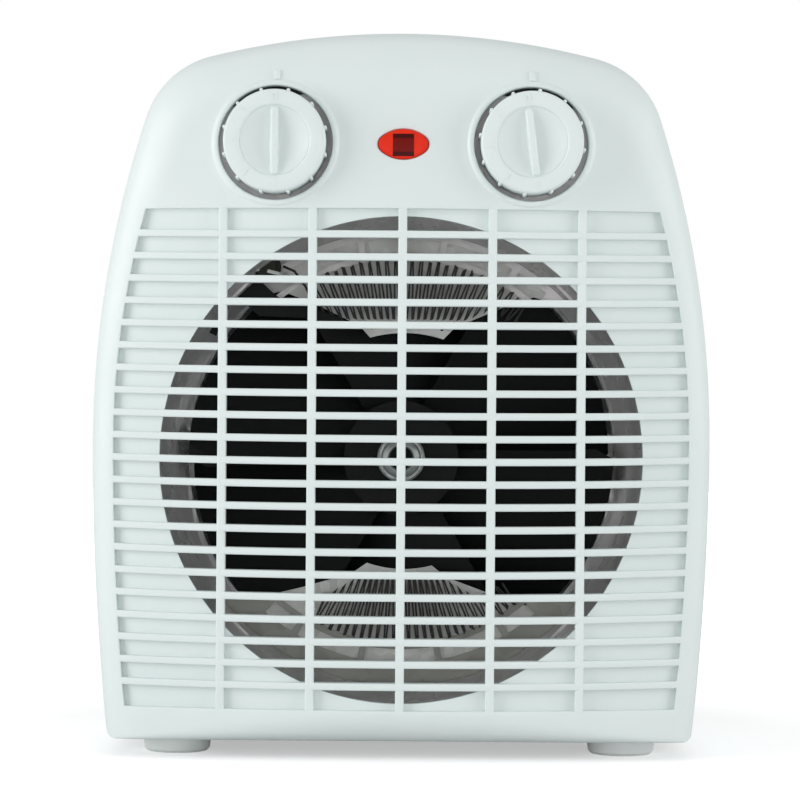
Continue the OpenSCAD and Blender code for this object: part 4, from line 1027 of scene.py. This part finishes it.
# the lower carrier wears the darker copy of the galvanised sheet, which paints shade
for label, side, sheet_look in (("upper", 1, "galvanised"), ("lower", -1, "carrier_sheet_painted_shade")):
    carrier, frame_node = element_frame(side), label + "_element_frame"
    carrier.piece(label + "_carrier", "galvanised", "housing", [frame_node], 30.0, look=sheet_look)
    mica_plate(side).piece(label + "_sheet", "mica", "housing", [label + "_mica_plate"], 30.0)
    wire_bank(side).piece(label + "_wires", "element_wire", "housing", [label + "_heating_wire"], 50.0, 0.0)
mica_pins().piece("mica_pins", "galvanised", "housing", ["mica_rivets"])
hub_clip().piece("hub_clip", slot_of["fan_cap"], "fan_wheel", ["fan_cap"], 30.0, look="clip_steel")
arm_slot, switch_slot = slot_of["cutoff_bracket"], slot_of["thermal_cutoff"]
cutoff_arm().piece("cutoff_arm", arm_slot, "housing", ["cutoff_bracket"], 30.0, look="black_plastic")
cutoff_switch().piece("cutoff_switch", switch_slot, "housing", ["thermal_cutoff"], 30.0, look="cutoff_body")
cutoff_blades().piece("cutoff_blades", "steel_screw", "housing", sharp=30.0, look="clip_steel")

front_shell().piece("front_shell", "white_shell", "housing", ["front_housing"])
grille().piece("grille", "white_shell", "housing", weld=0.0)
index_bars().piece("index_bars", "white_shell", "housing")
rear_shell().piece("rear_shell", "white_shell", "housing", ["rear_housing"])
for label, turn in (("switch", 0.0), ("thermostat", 7.0)):
    knob_node = label + "_knob"
    dial = knob(knob_at[knob_node], turn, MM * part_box(knob_node)[1].y)
    dial.piece(label + "_dial", "white_shell", label + "_control", [knob_node], 30.0)
lens().piece("lens", "red_lens", "housing", ["pilot_lens"])


# --------------------------------------------------------------- floor, light
def stage_plane(name, size):
    """A square plane at the origin, which belongs to the stage."""
    mesh = bpy.data.meshes.new(name)
    h = size / 2
    mesh.from_pydata([(-h, -h, 0), (h, -h, 0), (h, h, 0), (-h, h, 0)], [], [(0, 1, 2, 3)])
    plane = bpy.data.objects.new(name, mesh)
    bpy.context.scene.collection.objects.link(plane)
    return plane


def floor_material():
    """Pale floor that takes the heater's shadow close by and turns to plain white further off."""
    mat, tree, bsdf = new_material("pale_floor")
    place = position(tree)
    tone = ramp(tree, noise(tree, place, 3.0, 2.0), ((0.3, 0.80), (0.7, 0.82)))
    tree.links.new(tone, bsdf.inputs["Base Color"])
    bsdf.inputs["Roughness"].default_value = 0.8
    glow = tree.nodes.new("ShaderNodeEmission")
    glow.inputs["Color"].default_value = (1, 1, 1, 1)
    add = tree.nodes.new("ShaderNodeAddShader")
    path = tree.nodes.new("ShaderNodeLightPath")
    length = tree.nodes.new("ShaderNodeVectorMath")
    length.operation = "LENGTH"
    tree.links.new(place, length.inputs[0])
    far = ramp(tree, length.outputs["Value"], ((0.16, 0.42), (0.55, 1.0)))
    seen = calc(tree, "MULTIPLY", path.outputs["Is Camera Ray"], far)
    tree.links.new(seen, glow.inputs["Strength"])
    out = next(n for n in tree.nodes if n.type == "OUTPUT_MATERIAL")
    tree.links.new(bsdf.outputs[0], add.inputs[0])
    tree.links.new(glow.outputs[0], add.inputs[1])
    tree.links.new(add.outputs[0], out.inputs[0])
    return mat


def studio_world():
    """A soft grey surround that lights the heater, and a plain white backdrop for the camera's rays."""
    world = bpy.data.worlds.new("studio")
    world.use_nodes = True
    tree = world.node_tree
    tree.nodes.clear()
    out = tree.nodes.new("ShaderNodeOutputWorld")
    surround = tree.nodes.new("ShaderNodeBackground")
    backdrop = tree.nodes.new("ShaderNodeBackground")
    choose = tree.nodes.new("ShaderNodeMixShader")
    path = tree.nodes.new("ShaderNodeLightPath")
    surround.inputs["Color"].default_value = (0.97, 0.99, 1.0, 1)
    surround.inputs["Strength"].default_value = 0.5
    backdrop.inputs["Color"].default_value = (1, 1, 1, 1)
    backdrop.inputs["Strength"].default_value = 1.0
    rays = calc(tree, "MAXIMUM", path.outputs["Is Camera Ray"], path.outputs["Is Transmission Ray"])
    rays = calc(tree, "MAXIMUM", rays, calc(tree, "MULTIPLY", path.outputs["Is Glossy Ray"], 0.5))
    tree.links.new(rays, choose.inputs[0])
    tree.links.new(surround.outputs[0], choose.inputs[1])
    tree.links.new(backdrop.outputs[0], choose.inputs[2])
    tree.links.new(choose.outputs[0], out.inputs[0])
    return world


def softbox(name, place, aim, size, power):
    """A rectangular area lamp at a place, turned to where it aims."""
    light = bpy.data.lights.new(name, "AREA")
    light.shape = "RECTANGLE"
    light.size, light.size_y = size
    light.energy = power
    lamp = bpy.data.objects.new(name, light)
    lamp.location = place
    lamp.rotation_euler = (Vector(aim) - Vector(place)).to_track_quat("-Z", "Y").to_euler()
    bpy.context.scene.collection.objects.link(lamp)


floor = stage_plane("floor", 6.0)
floor.data.materials.append(floor_material())
bpy.context.scene.world = studio_world()
middle = (0, 0, 0.13)
softbox("key_left", (-1.3, -0.65, 0.4), middle, (0.8, 0.9), 10.5)
softbox("fill_right", (1.35, -0.55, 0.35), middle, (0.8, 0.9), 7.8)
softbox("low", (0.0, -1.2, 0.13), (0, 0, 0), (1.2, 0.12), 1.8)
softbox("top", (0.0, -0.1, 1.5), middle, (1.2, 1.0), 1.6)

# ---------------------------------------------------------------------- camera
CAMERA_AT = (-0.00055, -1.056, 0.1283)
CAMERA_TILT = math.radians(0.43)
camera = bpy.data.objects.new("camera", bpy.data.cameras.new("camera"))
bpy.context.scene.collection.objects.link(camera)
camera.data.sensor_width = 36.0
camera.data.lens = 127.4
camera.data.clip_start = 0.05
level_look = Vector((0, 1, 0)).to_track_quat("-Z", "Y").to_matrix().to_4x4()
camera.matrix_world = Matrix.Translation(CAMERA_AT) @ level_look @ Matrix.Rotation(CAMERA_TILT, 4, "Z")
bpy.context.scene.camera = camera
bpy.context.scene.view_settings.view_transform = "Standard"
